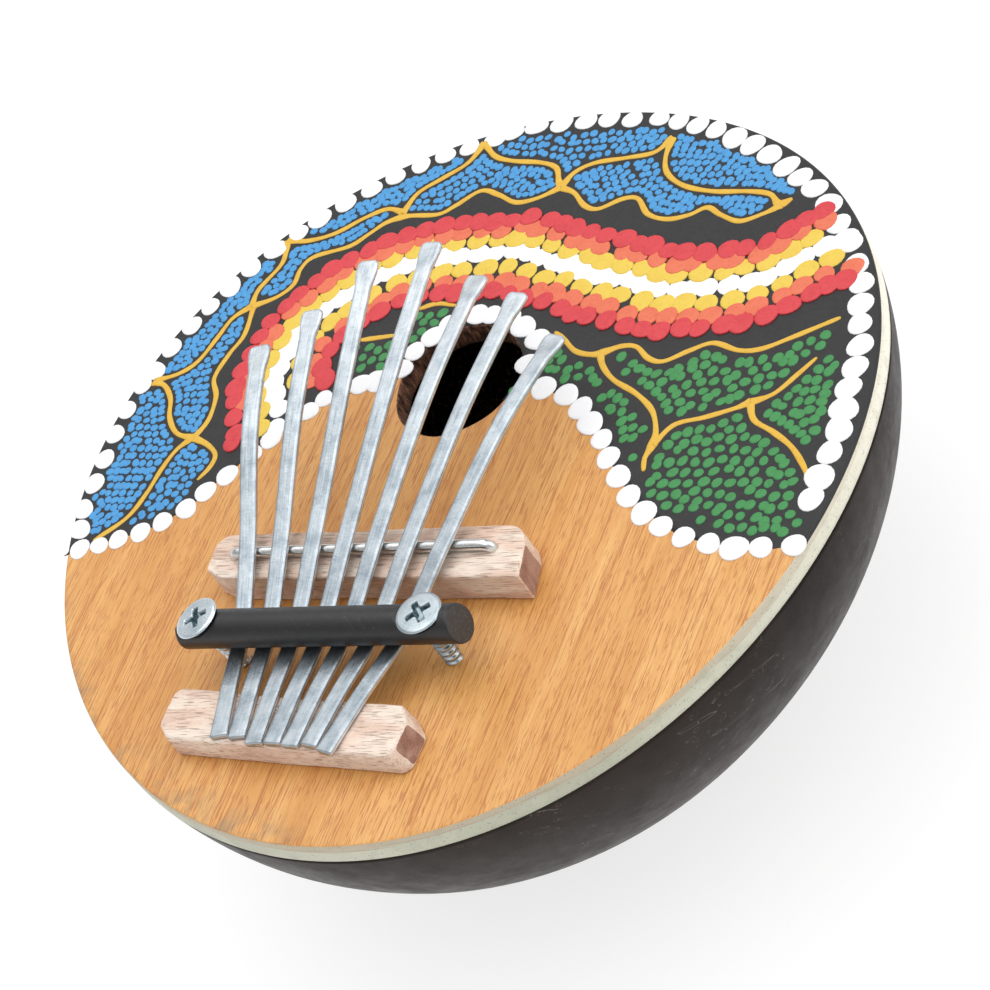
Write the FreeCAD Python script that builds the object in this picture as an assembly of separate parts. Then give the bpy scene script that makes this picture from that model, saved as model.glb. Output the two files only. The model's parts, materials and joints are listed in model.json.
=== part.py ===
import FreeCAD, Part
import math
import os
from collections import namedtuple

from FreeCAD import Placement, Rotation, Vector

# A thumb piano: a half coconut shell closed by a round plywood soundboard, with seven flat
# steel tines held down by a rod between a rear block and a wire saddle on a wooden bridge.
#
# Frame, in millimetres: +Z up, the soundboard's face is level, +Y runs from the player's
# end towards the tips of the tines, +X to the player's right. The origin is the centre of
# the flat under the shell that the instrument stands on.
# Heights named "..._height" are measured from the surface that the piece stands on.

# ---- coconut shell -------------------------------------------------------------------
rim_radius = 72.5          # mean radius of the shell's rim and of the soundboard on it
lobe_height = 1.1          # a coconut is a rounded triangle: how far its three lobes stand out
lobe_angle = 41.6          # direction of the first lobe, degrees from +X
shell_depth = 55.0         # rim to the crown of the nut, before the flat is sanded
shell_wall = 4.0
widest_above_rim = 7.1     # the nut is sawn this far below its widest place
foot_radius = 15.0         # the flat sanded on the crown
floor_radius = 12.0        # the level spot inside, over that flat
outer_bands = 6            # straight bands from rim to foot that follow the nut's curve
inner_bands = 4

# ---- soundboard ----------------------------------------------------------------------
board_thickness = 4.0
board_edge_ease = 0.4
sound_hole_radius = 11.2
sound_hole_x = -4.8
sound_hole_y = 15.6

# ---- bridge block, which carries the saddle wire --------------------------------------
bridge_height = 6.1
bridge_far = -18.85        # y of the far side
bridge_left_depth = 8.5    # along Y; the block is sawn a little deeper towards the right
bridge_right_depth = 10.0
bridge_left = -34.5
bridge_right = 25.2
bridge_corner_round = 4.0  # the far right corner
bridge_corner_cut = 3.5    # the sawn corners of the left end
bridge_end_turn = 9.0      # the right end isn't square to the far side, degrees
bridge_edge_ease = 0.5

# ---- saddle wire: a straight staple driven into the bridge ------------------------------
wire_radius = 0.95
wire_left = -30.6
wire_right = 19.7
wire_y = -23.3
wire_elbow = 0.6           # how far each tight bend cuts its corner short
wire_leg = 4.6             # length of each leg below the top of the bridge
wire_hole_clearance = 0.05

# ---- rear block, which the tails of the tines lie on ------------------------------------
rear_height = 5.0
rear_depth = 9.2
rear_length = 47.2
rear_x = -8.7              # middle of the block
rear_y = -54.2
rear_turn = -4.8           # it isn't square to the bridge, degrees about +Z
rear_corner_cut = 2.6
rear_end_slope = 14.0      # lean of the sawn right end, degrees
rear_edge_ease = 0.5

# ---- clamp rod and its two screws --------------------------------------------------------
rod_radius = 3.1
rod_y = -39.4
rod_axis_height = 9.0      # above the soundboard
rod_left = -31.0
rod_right = 20.2           # where the sloping end crosses the rod's axis
rod_end_slope = 13.0       # lean of the sawn right end, degrees
screw_length = 20.0
screw_radius = 1.5         # outside of the thread
screw_head_radius = 3.85
screw_head_rim = 0.45      # height of the head's straight edge
screw_head_sink = 0.4      # top of the head below the top of the rod
screw_recess_length = 4.6  # the cross in the head, tip to tip
screw_recess_width = 0.95
screw_recess_depth = 1.5
screw_clearance = 0.05     # round the thread and under the head

# One clamp screw: where its axis crosses the rod's, how far its head leans out to the left
# and how far the cross in its head is turned, both in degrees.
Screw = namedtuple("Screw", "x lean recess_turn")
left_screw = Screw(-26.6, 10.0, 24.0)
right_screw = Screw(14.3, 0.0, 38.0)

# ---- tines ---------------------------------------------------------------------------
tine_width = 3.0
tine_thickness = 0.95
tine_tip_width = 4.0       # the playing end is hammered wider and thinner
tine_tip_thickness = 0.75
tine_tip_length = 2.2
tine_flare = 2.8           # length over which the strip widens
tine_corner_cut = 0.9      # its two corners
tine_clearance = 0.12      # between a tine and the block, rod and wire that hold it
tail_pitch = 3.45          # spacing of the tails on the rear block
tail_middle_x = -8.7       # tail of the middle tine
mid_share = 0.6            # place of mid_height, as a share of the free length

# One tine: where it crosses the saddle, its free length beyond it, the heights of its upper
# face above the soundboard part-way and at the tip, and how far its tail passes the block.
Tine = namedtuple("Tine", "saddle_x free_length mid_height tip_height overhang")
tines = [
    Tine(-25.7, 35.2, 15.4, 17.0, -0.5),
    Tine(-19.4, 40.8, 15.7, 17.9, -0.6),
    Tine(-13.2, 48.4, 16.2, 20.0, 0.3),
    Tine(-7.2, 52.9, 16.0, 18.2, 0.0),
    Tine(-1.5, 48.3, 14.7, 14.8, 0.2),
    Tine(4.8, 44.3, 14.7, 15.0, -0.2),
    Tine(11.4, 37.6, 13.6, 12.7, 0.7),
]

# ---- worked out from the sizes above -----------------------------------------------------
nut_height = shell_depth + widest_above_rim
nut_radius = rim_radius / math.sqrt(1 - (widest_above_rim / nut_height) ** 2)
foot_drop = nut_height * math.sqrt(1 - (foot_radius / nut_radius) ** 2)
rim_z = foot_drop - widest_above_rim
nut_centre_z = rim_z + widest_above_rim
board_z = rim_z + board_thickness
wire_z = board_z + bridge_height + wire_radius
rod_z = board_z + rod_axis_height
screw_top_z = rod_z + rod_radius - screw_head_sink  # of an upright screw

X_AXIS = Vector(1, 0, 0)
Y_AXIS = Vector(0, 1, 0)
Z_AXIS = Vector(0, 0, 1)
BIG = 4 * rim_radius       # larger than any piece, for half-spaces
MITRED = 1                 # how makePipeShell turns a corner


def lobe_arcs():
    """(centre, radius, first angle) of the six arcs of the rim's outline, in turn.

    Three tighter arcs make the lobes and three flatter ones lie between them. Each turns by
    60 degrees about its own centre and is tangent to its neighbours.
    """
    offset = 2 * lobe_height / (2 - math.sqrt(3))
    arcs = []
    for step in range(6):
        side = 1 if step % 2 == 0 else -1
        middle = math.radians(lobe_angle + 60 * step)
        centre = Vector(math.cos(middle), math.sin(middle), 0) * side * offset
        radius = rim_radius + side * (lobe_height - offset)
        arcs.append((centre, radius, middle - math.pi / 6))
    return arcs


def polar(centre, radius, angle, z):
    """The point at this radius and angle from an upright axis through centre."""
    return centre + Vector(radius * math.cos(angle), radius * math.sin(angle), z)


def lobed_disc(inset, z, height):
    """Upright disc with the rim's outline, drawn in by inset."""
    edges = []
    for centre, radius, first in lobe_arcs():
        turns = [first, first + math.pi / 6, first + math.pi / 3]
        edges.append(Part.Arc(*[polar(centre, radius - inset, a, z) for a in turns]).toShape())
    return Part.Face(Part.Wire(edges)).extrude(Z_AXIS * height)


def lobed_ring(section):
    """A closed section of (inset, z) corners carried round the rim, arc by arc."""
    sectors = []
    for centre, radius, first in lobe_arcs():
        corners = [polar(centre, radius - inset, first, z) for inset, z in section]
        face = Part.Face(Part.makePolygon(corners + corners[:1]))
        sectors.append(face.revolve(centre, Z_AXIS, 60))
    return sectors[0].multiFuse(sectors[1:]).removeSplitter()


def nut_curve(radius, height, end_radius, bands):
    """(inset, z) corners along a half ellipse, from the saw cut down to end_radius."""
    first = math.asin(widest_above_rim / height)
    last = math.acos(end_radius / radius)
    corners = []
    for step in range(bands + 1):
        angle = first + (last - first) * step / bands
        corners.append((rim_radius - radius * math.cos(angle), nut_centre_z - height * math.sin(angle)))
    return corners


def prism(points, z, height):
    """Upright prism on a closed outline of (x, y) corners."""
    corners = [Vector(x, y, z) for x, y in points]
    return Part.Face(Part.makePolygon(corners + corners[:1])).extrude(Z_AXIS * height)


def half_space(point, normal):
    """Everything on the side of a plane that its normal points to."""
    box = Part.makeBox(BIG, BIG, BIG, Vector(-BIG / 2, -BIG / 2, 0))
    box.Placement = Placement(point, Rotation(Z_AXIS, normal))
    return box


def upright_edges(shape, near):
    """Vertical edges that stand at the (x, y) places given."""
    found = []
    for edge in shape.Edges:
        low, high = edge.BoundBox.getPoint(0), edge.BoundBox.getPoint(6)
        level = math.hypot(low.x - high.x, low.y - high.y) > 0.01
        if not level and any(math.hypot(low.x - x, low.y - y) < 0.01 for x, y in near):
            found.append(edge)
    return found


def ease_top(shape, z, size):
    """Small chamfer round the upper face at height z."""
    top = [e for e in shape.Edges if e.BoundBox.ZMin > z - 0.01 and e.BoundBox.ZMax < z + 0.01]
    return shape.makeChamfer(size, top)


def coconut_shell():
    """Half shell of even wall with a level rim, standing on a small sanded flat."""
    outside = nut_curve(nut_radius, nut_height, foot_radius, outer_bands)
    inside = nut_curve(nut_radius - shell_wall, nut_height - shell_wall, floor_radius, inner_bands)
    wall = lobed_ring(outside + inside[::-1])
    floor = lobed_disc(rim_radius - foot_radius, 0, inside[-1][1])
    return wall.fuse(floor).removeSplitter()


def soundboard():
    """Plywood disc sawn to the rim's outline, with the sound hole and two screw holes."""
    disc = ease_top(lobed_disc(0, rim_z, board_thickness), board_z, board_edge_ease)
    hole = Part.makeCylinder(sound_hole_radius, BIG, Vector(sound_hole_x, sound_hole_y, 0))
    disc = disc.cut(hole)
    for screw in (left_screw, right_screw):
        hole = Part.makeCylinder(screw_radius + screw_clearance, BIG, Vector(screw.x, rod_y, 0))
        disc = disc.cut(leaned(hole, screw))
    return disc


def front_bridge():
    """Bridge block: sawn corners at the left, an askew end with a round corner at the right."""
    cut = bridge_corner_cut
    askew = bridge_right_depth * math.tan(math.radians(bridge_end_turn))
    outline = [
        (bridge_left + cut, bridge_far - bridge_left_depth),
        (bridge_right, bridge_far - bridge_right_depth),
        (bridge_right - askew, bridge_far),
        (bridge_left + cut / 2, bridge_far),
        (bridge_left, bridge_far - cut / 2),
        (bridge_left, bridge_far - bridge_left_depth + cut / 2),
    ]
    block = prism(outline, board_z, bridge_height)
    corner = upright_edges(block, [outline[2]])
    block = block.makeFillet(bridge_corner_round, corner)
    block = ease_top(block, board_z + bridge_height, bridge_edge_ease)
    for x in wire_leg_places():
        bottom = Vector(x, wire_y, board_z + bridge_height - wire_leg - wire_hole_clearance)
        block = block.cut(Part.makeCylinder(wire_radius + wire_hole_clearance, BIG, bottom))
    return block


def wire_leg_places():
    """x of the axis of each leg of the saddle wire."""
    return wire_left + wire_radius, wire_right - wire_radius


def saddle_wire():
    """Round wire along X whose two ends turn down into the bridge."""
    left, right = wire_leg_places()
    foot_z = board_z + bridge_height - wire_leg
    path = [
        Vector(left, wire_y, foot_z),
        Vector(left, wire_y, wire_z - wire_elbow),
        Vector(left + wire_elbow, wire_y, wire_z),
        Vector(right - wire_elbow, wire_y, wire_z),
        Vector(right, wire_y, wire_z - wire_elbow),
        Vector(right, wire_y, foot_z),
    ]
    section = Part.Wire([Part.Circle(path[0], Z_AXIS, wire_radius).toShape()])
    return Part.makePolygon(path).makePipeShell([section], True, False, MITRED)


def rear_corner(along, across):
    """(x, y) of a point of the rear block given along and across its own turned length."""
    turn = math.radians(rear_turn)
    return (
        rear_x + along * math.cos(turn) - across * math.sin(turn),
        rear_y + along * math.sin(turn) + across * math.cos(turn),
    )


def rear_block():
    """Turned block with a trimmed left end and a sloping, corner-cut right end."""
    half, deep, cut = rear_length / 2, rear_depth / 2, rear_corner_cut
    outline = [
        rear_corner(-half + cut, -deep),
        rear_corner(half - cut / 2, -deep),
        rear_corner(half, -deep + cut / 2),
        rear_corner(half, deep - cut),
        rear_corner(half - cut, deep),
        rear_corner(-half + cut / 2, deep),
        rear_corner(-half, -deep + cut),
    ]
    block = prism(outline, board_z, rear_height)
    block = ease_top(block, board_z + rear_height, rear_edge_ease)
    slope = math.radians(rear_end_slope)
    turn = math.radians(rear_turn)
    lean = Vector(math.cos(slope) * math.cos(turn), math.cos(slope) * math.sin(turn), math.sin(slope))
    end = Vector(*rear_corner(half, 0), board_z)
    return block.cut(half_space(end, lean))


def head_profile(grow):
    """Half section of a countersunk screw, (radius, z) from the top centre down, grown by grow."""
    cone = screw_head_radius - screw_radius
    rim_low = screw_top_z - screw_head_rim
    tip = screw_top_z - screw_length
    return [
        (0, screw_top_z),
        (screw_head_radius + grow, screw_top_z),
        (screw_head_radius + grow, rim_low - grow * math.tan(math.pi / 8)),
        (screw_radius + grow, rim_low - cone - grow * math.tan(math.pi / 8)),
        (screw_radius + grow, tip),
        (0, tip),
    ]


def turned(profile, x, y):
    """Solid of revolution of a half section about the upright line at (x, y)."""
    corners = [Vector(x + radius, y, z) for radius, z in profile]
    face = Part.Face(Part.makePolygon(corners + corners[:1]))
    return face.revolve(Vector(x, y, 0), Z_AXIS, 360)


def leaned(shape, screw):
    """Tips a shape made round the upright line at a screw, about the rod's axis, as it leans."""
    shape.rotate(Vector(screw.x, rod_y, rod_z), Y_AXIS, -screw.lean)
    return shape


def clamp_rod():
    """Round bar, sawn square at the left and askew at the right, drilled and countersunk."""
    start = Vector(rod_left, rod_y, rod_z)
    rod = Part.makeCylinder(rod_radius, rod_right - rod_left + 2 * rod_radius, start, X_AXIS)
    slope = math.radians(rod_end_slope)
    cut = half_space(Vector(rod_right, rod_y, rod_z), Vector(math.cos(slope), 0, math.sin(slope)))
    rod = rod.cut(cut)
    for screw in (left_screw, right_screw):
        over = Vector(screw.x, rod_y, screw_top_z)
        pocket = Part.makeCylinder(screw_head_radius + screw_clearance, 2 * rod_radius, over)
        rod = rod.cut(leaned(turned(head_profile(screw_clearance), screw.x, rod_y), screw))
        rod = rod.cut(leaned(pocket, screw))
    return rod


def recess_arm(x, turn):
    """One arm pair of the cross: a slot whose ends and sides close in towards the bottom."""
    long, wide, deep = screw_recess_length / 2, screw_recess_width / 2, screw_recess_depth
    arm = Part.makeWedge(
        -long, -deep, -wide, -wide / 2, -long / 2, long, 0, wide, wide / 2, long / 2
    )
    # the wedge narrows along +Y, so it is stood on its head: +Y becomes -Z
    arm.rotate(Vector(0, 0, 0), X_AXIS, -90)
    arm.rotate(Vector(0, 0, 0), Z_AXIS, turn)
    arm.translate(Vector(x, rod_y, screw_top_z - deep))
    return arm


def clamp_screw(screw):
    """Countersunk screw with a cross recess; its thread is the cylinder round it."""
    shape = turned(head_profile(0), screw.x, rod_y)
    for quarter in (0, 90):
        shape = shape.cut(recess_arm(screw.x, screw.recess_turn + quarter))
    return leaned(shape, screw)


def rear_edge(x, side):
    """y of the rear block's near (side -1) or far (side +1) edge at x."""
    turn = math.radians(rear_turn)
    return rear_y + side * rear_depth / 2 / math.cos(turn) + math.tan(turn) * (x - rear_x)


def tine_line(index):
    """Plan of one tine: lean from +Y in radians, and distances from saddle to tail and block."""
    spec = tines[index]
    tail_x = tail_middle_x + tail_pitch * (index - (len(tines) - 1) / 2)
    tail_y = rear_edge(tail_x, -1)
    lean = math.atan2(spec.saddle_x - tail_x, wire_y - tail_y)
    tail = math.hypot(spec.saddle_x - tail_x, wire_y - tail_y)
    slope = math.tan(math.radians(rear_turn))
    gap = rear_edge(tail_x, 1) - tail_y
    on_block = gap / (math.cos(lean) - slope * math.sin(lean))
    return lean, tail + spec.overhang, tail - on_block


def middle_angle(before, here, after):
    """Angle at which a smooth curve passes (s, z) here: the nearer neighbour counts for more."""
    near, far = here[0] - before[0], after[0] - here[0]
    slope_in, slope_out = (here[1] - before[1]) / near, (after[1] - here[1]) / far
    return math.atan((slope_in * far + slope_out * near) / (near + far))


def tine_stations(index):
    """Underside of one tine along its length: (s, z, angle), s from the saddle to the tip."""
    spec = tines[index]
    lean, tail, leaves_block = tine_line(index)
    under_rod = rod_radius + tine_clearance + tine_thickness
    on_wire = wire_radius + tine_clearance
    block = (-leaves_block, board_z + rear_height + tine_clearance)
    rod = ((rod_y - wire_y) / math.cos(lean), rod_z - under_rod)
    wire = (0, wire_z + on_wire)
    mid = (mid_share * spec.free_length, board_z + spec.mid_height - tine_thickness)
    tip = (spec.free_length, board_z + spec.tip_height - tine_tip_thickness)
    rod_angle = middle_angle(block, rod, wire)
    wire_angle = middle_angle(rod, wire, mid)
    return [
        (-tail, block[1], 0),
        (*block, 0),
        (rod[0] + under_rod * math.sin(rod_angle), rod_z - under_rod * math.cos(rod_angle), rod_angle),
        (-on_wire * math.sin(wire_angle), wire_z + on_wire * math.cos(wire_angle), wire_angle),
        (*mid, middle_angle(wire, mid, tip)),
        (*tip, math.atan2(tip[1] - mid[1], tip[0] - mid[0])),
    ]


def smooth_edge(stations):
    """Curve in the YZ plane through (s, z, angle) stations, leaving each one at its angle."""
    curve = Part.BSplineCurve()
    curve.interpolate(
        Points=[Vector(0, s, z) for s, z, angle in stations],
        Tangents=[Vector(0, math.cos(angle), math.sin(angle)) for s, z, angle in stations],
        TangentFlags=[True] * len(stations),
    )
    return curve.toShape()


def raised(stations):
    """The stations one strip thickness higher, square to the strip; the tip is thinner."""
    out = []
    for s, z, angle in stations:
        thick = tine_tip_thickness if s == stations[-1][0] else tine_thickness
        out.append((s - thick * math.sin(angle), z + thick * math.cos(angle), angle))
    return out


def tine_outline(tail, free):
    """Corners of a strip's plan along +Y: parallel, then flared to the playing end."""
    half, wide, cut = tine_width / 2, tine_tip_width / 2, tine_corner_cut
    flat = free - tine_tip_length
    right = [
        (half, -tail),
        (half, flat - tine_flare),
        (wide, flat),
        (wide, free - cut),
        (wide - cut, free),
    ]
    return right + [(-x, y) for x, y in right[::-1]]


def tine(index):
    """One strip: its side view swept across its width, trimmed to its plan, set on its line."""
    stations = tine_stations(index)
    lean, tail, leaves_block = tine_line(index)
    low = [Part.LineSegment(*[Vector(0, s, z) for s, z, a in stations[:2]]).toShape()]
    low.append(smooth_edge(stations[1:]))
    upper = raised(stations)
    high = [Part.LineSegment(*[Vector(0, s, z) for s, z, a in upper[:2]]).toShape()]
    high.append(smooth_edge(upper[1:]))
    ends = []
    for k in (0, -1):
        (s, z, a), (s_high, z_high, a) = stations[k], upper[k]
        ends.append(Part.LineSegment(Vector(0, s, z), Vector(0, s_high, z_high)).toShape())
    side = Part.Face(Part.Wire(Part.__sortEdges__(low + high + ends)))
    side.translate(Vector(-tine_tip_width, 0, 0))
    strip = side.extrude(X_AXIS * 2 * tine_tip_width)
    strip = strip.common(prism(tine_outline(tail, tines[index].free_length), board_z, BIG))
    strip.rotate(Vector(0, 0, 0), Z_AXIS, -math.degrees(lean))
    strip.translate(Vector(tines[index].saddle_x, wire_y, 0))
    return strip


def main():
    """Build every piece and write one STEP file for each."""
    pieces = {
        "coconut_shell": coconut_shell(),
        "soundboard": soundboard(),
        "front_bridge": front_bridge(),
        "saddle_wire": saddle_wire(),
        "rear_block": rear_block(),
        "clamp_rod": clamp_rod(),
        "clamp_screw_left": clamp_screw(left_screw),
        "clamp_screw_right": clamp_screw(right_screw),
    }
    for index in range(len(tines)):
        pieces[f"tine_{index + 1}"] = tine(index)
    os.makedirs("parts", exist_ok=True)
    for name, shape in pieces.items():
        solids = shape.Solids
        if len(solids) != 1 or not solids[0].isValid():
            raise RuntimeError(f"{name}: {len(solids)} solids")
        solids[0].exportStep(f"parts/{name}.step")
        box = solids[0].BoundBox
        print(f"{name:18} {solids[0].Volume:9.1f} mm3  z {box.ZMin:.2f} to {box.ZMax:.2f}")


main()
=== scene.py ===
"""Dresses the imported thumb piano: a painted board on a half coconut shell, with steel tongues."""
import json
import logging
import math
from collections.abc import Callable, Sequence
from dataclasses import dataclass, field
from enum import Enum

import bpy
import numpy as np
from mathutils import Matrix, Vector
from numpy.typing import NDArray


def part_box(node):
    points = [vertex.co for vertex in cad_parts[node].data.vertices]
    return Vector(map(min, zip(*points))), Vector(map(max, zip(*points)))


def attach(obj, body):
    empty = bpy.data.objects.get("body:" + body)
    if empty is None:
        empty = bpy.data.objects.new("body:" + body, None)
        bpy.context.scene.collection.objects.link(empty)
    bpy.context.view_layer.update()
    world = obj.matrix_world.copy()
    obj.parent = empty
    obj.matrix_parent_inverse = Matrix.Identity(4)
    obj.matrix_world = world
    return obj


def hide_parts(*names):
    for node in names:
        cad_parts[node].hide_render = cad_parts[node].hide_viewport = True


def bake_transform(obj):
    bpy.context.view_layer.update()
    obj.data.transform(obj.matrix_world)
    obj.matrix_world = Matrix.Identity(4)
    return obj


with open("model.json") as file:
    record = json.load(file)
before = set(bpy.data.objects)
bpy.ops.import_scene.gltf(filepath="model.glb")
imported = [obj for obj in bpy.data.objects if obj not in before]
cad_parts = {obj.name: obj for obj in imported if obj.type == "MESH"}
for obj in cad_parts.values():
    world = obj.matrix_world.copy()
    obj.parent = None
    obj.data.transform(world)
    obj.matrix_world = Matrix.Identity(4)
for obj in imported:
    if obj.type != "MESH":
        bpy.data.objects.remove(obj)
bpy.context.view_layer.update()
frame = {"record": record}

log = logging.getLogger("thumb_piano")
Array = NDArray[np.float64]
Colour = tuple[float, float, float]
Direction = tuple[float, float, float]
Span = tuple[float, float]
Socket = bpy.types.NodeSocket
MM = 0.001  # every size below is in millimetres; meshes are written in metres
BODY = "body"


def low(node: str) -> Array:
    """The lowest corner of a CAD node's box, in millimetres."""
    return np.array(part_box(node)[0]) / MM


def high(node: str) -> Array:
    """The highest corner of a CAD node's box, in millimetres."""
    return np.array(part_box(node)[1]) / MM


def middle(node: str) -> Array:
    """The middle of a CAD node's box, in millimetres."""
    return (low(node) + high(node)) / 2


# ---------------------------------------------------------------- shapes from numpy grids


def round_about(count: int) -> Array:
    """Directions of evenly spaced points on a full circle."""
    return np.linspace(0, 2 * np.pi, count, endpoint=False)


def turned(x: Array, y: Array, angle: Array | float) -> tuple[Array, Array]:
    """x and y turned counter-clockwise by an angle."""
    cosine, sine = np.cos(angle), np.sin(angle)
    return x * cosine - y * sine, x * sine + y * cosine


def run_along(path: Array) -> Array:
    """Length of a path of straight runs from its start to each of its points."""
    return np.concatenate([[0], np.cumsum(np.linalg.norm(np.diff(path, axis=0), axis=1))])


def places_on(path: Array, distances: Array) -> Array:
    """Points at these distances along a path."""
    run = run_along(path)
    return np.stack([np.interp(distances, run, column) for column in path.T], axis=1)


def waves(points: Array, size: float, seed: int, octaves: int) -> Array:
    """Smooth random unevenness: plane sine waves of random direction, summed over octaves.

    Args:
        points: array (..., 3) of places.
        size: length of the longest waves, as for the places.
        seed: picks the waves.
        octaves: each further one is half as long and half as high.

    Returns:
        Values of about -1 to 1 at each place.
    """
    draw = np.random.default_rng(seed)
    total = np.zeros(points.shape[:-1])
    for octave in range(octaves):
        ways = draw.normal(size=(7, 3)) * 2.0**octave * 2 / size
        phases = draw.uniform(0, 2 * np.pi, 7)
        total += np.sin(points @ ways.T + phases).mean(axis=-1) / 2**octave
    return 2 * total


def quads(rows: int, columns: int, round_rows: bool, round_columns: bool) -> NDArray[np.int64]:
    """Corner numbers of the faces of a grid of points, which may close on itself either way."""
    i = np.arange(rows if round_rows else rows - 1)[:, None]
    j = np.arange(columns if round_columns else columns - 1)[None, :]
    here, following = i * columns, (i + 1) % rows * columns
    j_next = (j + 1) % columns
    corners = (here + j, following + j, following + j_next, here + j_next)
    return np.stack([np.broadcast_to(c, (i.size, j.size)) for c in corners], axis=-1).reshape(-1, 4)


def mesh_object(name: str, points: Array, faces: list, slots: Array | None = None,
                uv: Array | None = None) -> bpy.types.Object:
    """Makes an object of millimetre points, with the faces of a closed shape turned outwards.

    Args:
        name: the piece's name.
        points: array (n, 3) in millimetres.
        faces: lists of corner numbers.
        slots: material number of each face.
        uv: array (n, 2), one place on the pattern for each point.

    Returns:
        The smooth-shaded object, at the origin.
    """
    first = np.array([face[:3] for face in faces])
    a, b, c = (points[first[:, k]] for k in range(3))
    last = np.array([(face[0], face[-2], face[-1]) for face in faces])
    d, e, f = (points[last[:, k]] for k in range(3))
    volume = np.einsum("ij,ij->", a, np.cross(b, c))
    volume += np.einsum("ij,ij->", d, np.cross(e, f)) if len(faces[0]) == 4 else 0
    if volume < 0:
        faces = [face[::-1] for face in faces]
    mesh = bpy.data.meshes.new(name)
    mesh.from_pydata((points * MM).tolist(), [], faces)
    if slots is not None:
        mesh.polygons.foreach_set("material_index", slots.astype(np.int32))
    if uv is not None:
        corner = np.zeros(len(mesh.loops), np.int32)
        mesh.loops.foreach_get("vertex_index", corner)
        layer = mesh.uv_layers.new(name="along")
        layer.data.foreach_set("uv", uv[corner].astype(np.float32).ravel())
    mesh.shade_smooth()
    mesh.update()
    piece = bpy.data.objects.new(name, mesh)
    bpy.context.scene.collection.objects.link(piece)
    return piece


def tube_object(name: str, grid: Array, slots: Array | None = None,
                uv: Array | None = None) -> bpy.types.Object:
    """A closed skin of rings: every ring joins the next, and a point closes each end.

    Args:
        name: the piece's name.
        grid: array (rings, points in a ring, 3) in millimetres.
        slots: material number of each band between two rings, ends included, or of each face.
        uv: array (rings, points in a ring, 2).

    Returns:
        The object.
    """
    rings, around = grid.shape[:2]
    points = np.vstack([grid.reshape(-1, 3), grid[0].mean(axis=0), grid[-1].mean(axis=0)])
    faces = quads(rings, around, False, True).tolist()
    here = np.arange(around)
    turn = (here + 1) % around
    start, end = np.full(around, rings * around), np.full(around, rings * around + 1)
    base = (rings - 1) * around
    faces += np.stack([start, here, turn], axis=1).tolist()
    faces += np.stack([end, base + turn, base + here], axis=1).tolist()
    face_slots = None
    if slots is not None:
        bands = np.broadcast_to(slots.reshape(len(slots), -1), (len(slots), around))
        face_slots = np.concatenate([bands[1:-1].ravel(), bands[0], bands[-1]])
    places = None
    if uv is not None:
        places = np.vstack([uv.reshape(-1, 2), uv[0].mean(axis=0), uv[-1].mean(axis=0)])
    return mesh_object(name, points, faces, face_slots, places)


def smooth_path(points: Sequence[tuple[float, ...]], step: float) -> Array:
    """A Catmull-Rom curve through given points, resampled at even steps of length.

    Each span is the cubic whose end slopes are half the chord between its two neighbours.

    Args:
        points: places the curve runs through.
        step: spacing of the result.

    Returns:
        Array (n, dimensions) along the curve, ends included.
    """
    knots = np.array(points, float)
    padded = np.vstack([2 * knots[0] - knots[1], knots, 2 * knots[-1] - knots[-2]])
    p0, p1, p2, p3 = (padded[k:len(padded) - 3 + k, None, :] for k in range(4))
    t = np.linspace(0, 1, 24, endpoint=False)[None, :, None]
    dense = 0.5 * (2 * p1 + (p2 - p0) * t + (2 * p0 - 5 * p1 + 4 * p2 - p3) * t**2
                   + (3 * p1 - p0 - 3 * p2 + p3) * t**3)
    dense = np.vstack([dense.reshape(-1, knots.shape[1]), knots[-1]])
    length = run_along(dense)[-1]
    return places_on(dense, np.linspace(0, length, max(2, round(length / step) + 1)))


def left_of(path: Array) -> Array:
    """Unit normals of a flat path, on its left-hand side."""
    tangent = np.gradient(path, axis=0)
    tangent /= np.linalg.norm(tangent, axis=1, keepdims=True)
    return np.stack([-tangent[:, 1], tangent[:, 0]], axis=1)


def rounded_section(half_width: Array, half_height: Array, ease: Array, across: int,
                    corner: int) -> Array:
    """Rounded rectangles, one for each station: four quarter circles joined by divided flats.

    Args:
        half_width: half the width at each station.
        half_height: half the height at each station.
        ease: corner radius at each station.
        across: points that divide each flat side.
        corner: points of each quarter circle.

    Returns:
        Array (stations, points, 2), counter-clockwise from the right flat.
    """
    turns = np.linspace(0, np.pi / 2, corner)
    sides = []
    for number, (sx, sy) in enumerate(((1, 1), (-1, 1), (-1, -1), (1, -1))):
        angle = turns + number * np.pi / 2
        centre_x, centre_y = sx * (half_width - ease), sy * (half_height - ease)
        sides.append(np.stack([centre_x[:, None] + ease[:, None] * np.cos(angle),
                               centre_y[:, None] + ease[:, None] * np.sin(angle)], axis=-1))
    share = (np.arange(1, across + 1) / (across + 1))[None, :, None]
    loop = []
    for number in range(4):
        here, following = sides[number], sides[(number + 1) % 4]
        loop.append(here)
        loop.append(here[:, -1:] * (1 - share) + following[:, :1] * share)
    return np.concatenate(loop, axis=1)


def end_ease(distance: Array, radius: float) -> Array:
    """How far a surface draws in at this distance from an end that a quarter circle rounds."""
    gap = np.clip(radius - distance, 0, radius)
    return radius - np.sqrt(radius**2 - gap**2)


def crowded(start: float, stop: float, count: int, edge: float, extra: int = 6) -> Array:
    """Stations from start to stop, with extra ones inside the last stretch at each end."""
    turn = 1 - np.cos(np.linspace(0, np.pi / 2, extra))
    middle = np.linspace(start + edge, stop - edge, count)
    return np.concatenate([start + edge * turn[:-1], middle, stop - edge * turn[:-1][::-1]])


# ---------------------------------------------------------------- shader building blocks


class Effect(Enum):
    """Shared shader effects, each kept as one node group."""

    GRAIN = "wood_grain"
    SCRATCH = "fine_scratches"
    MOTTLE = "mottling"


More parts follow.
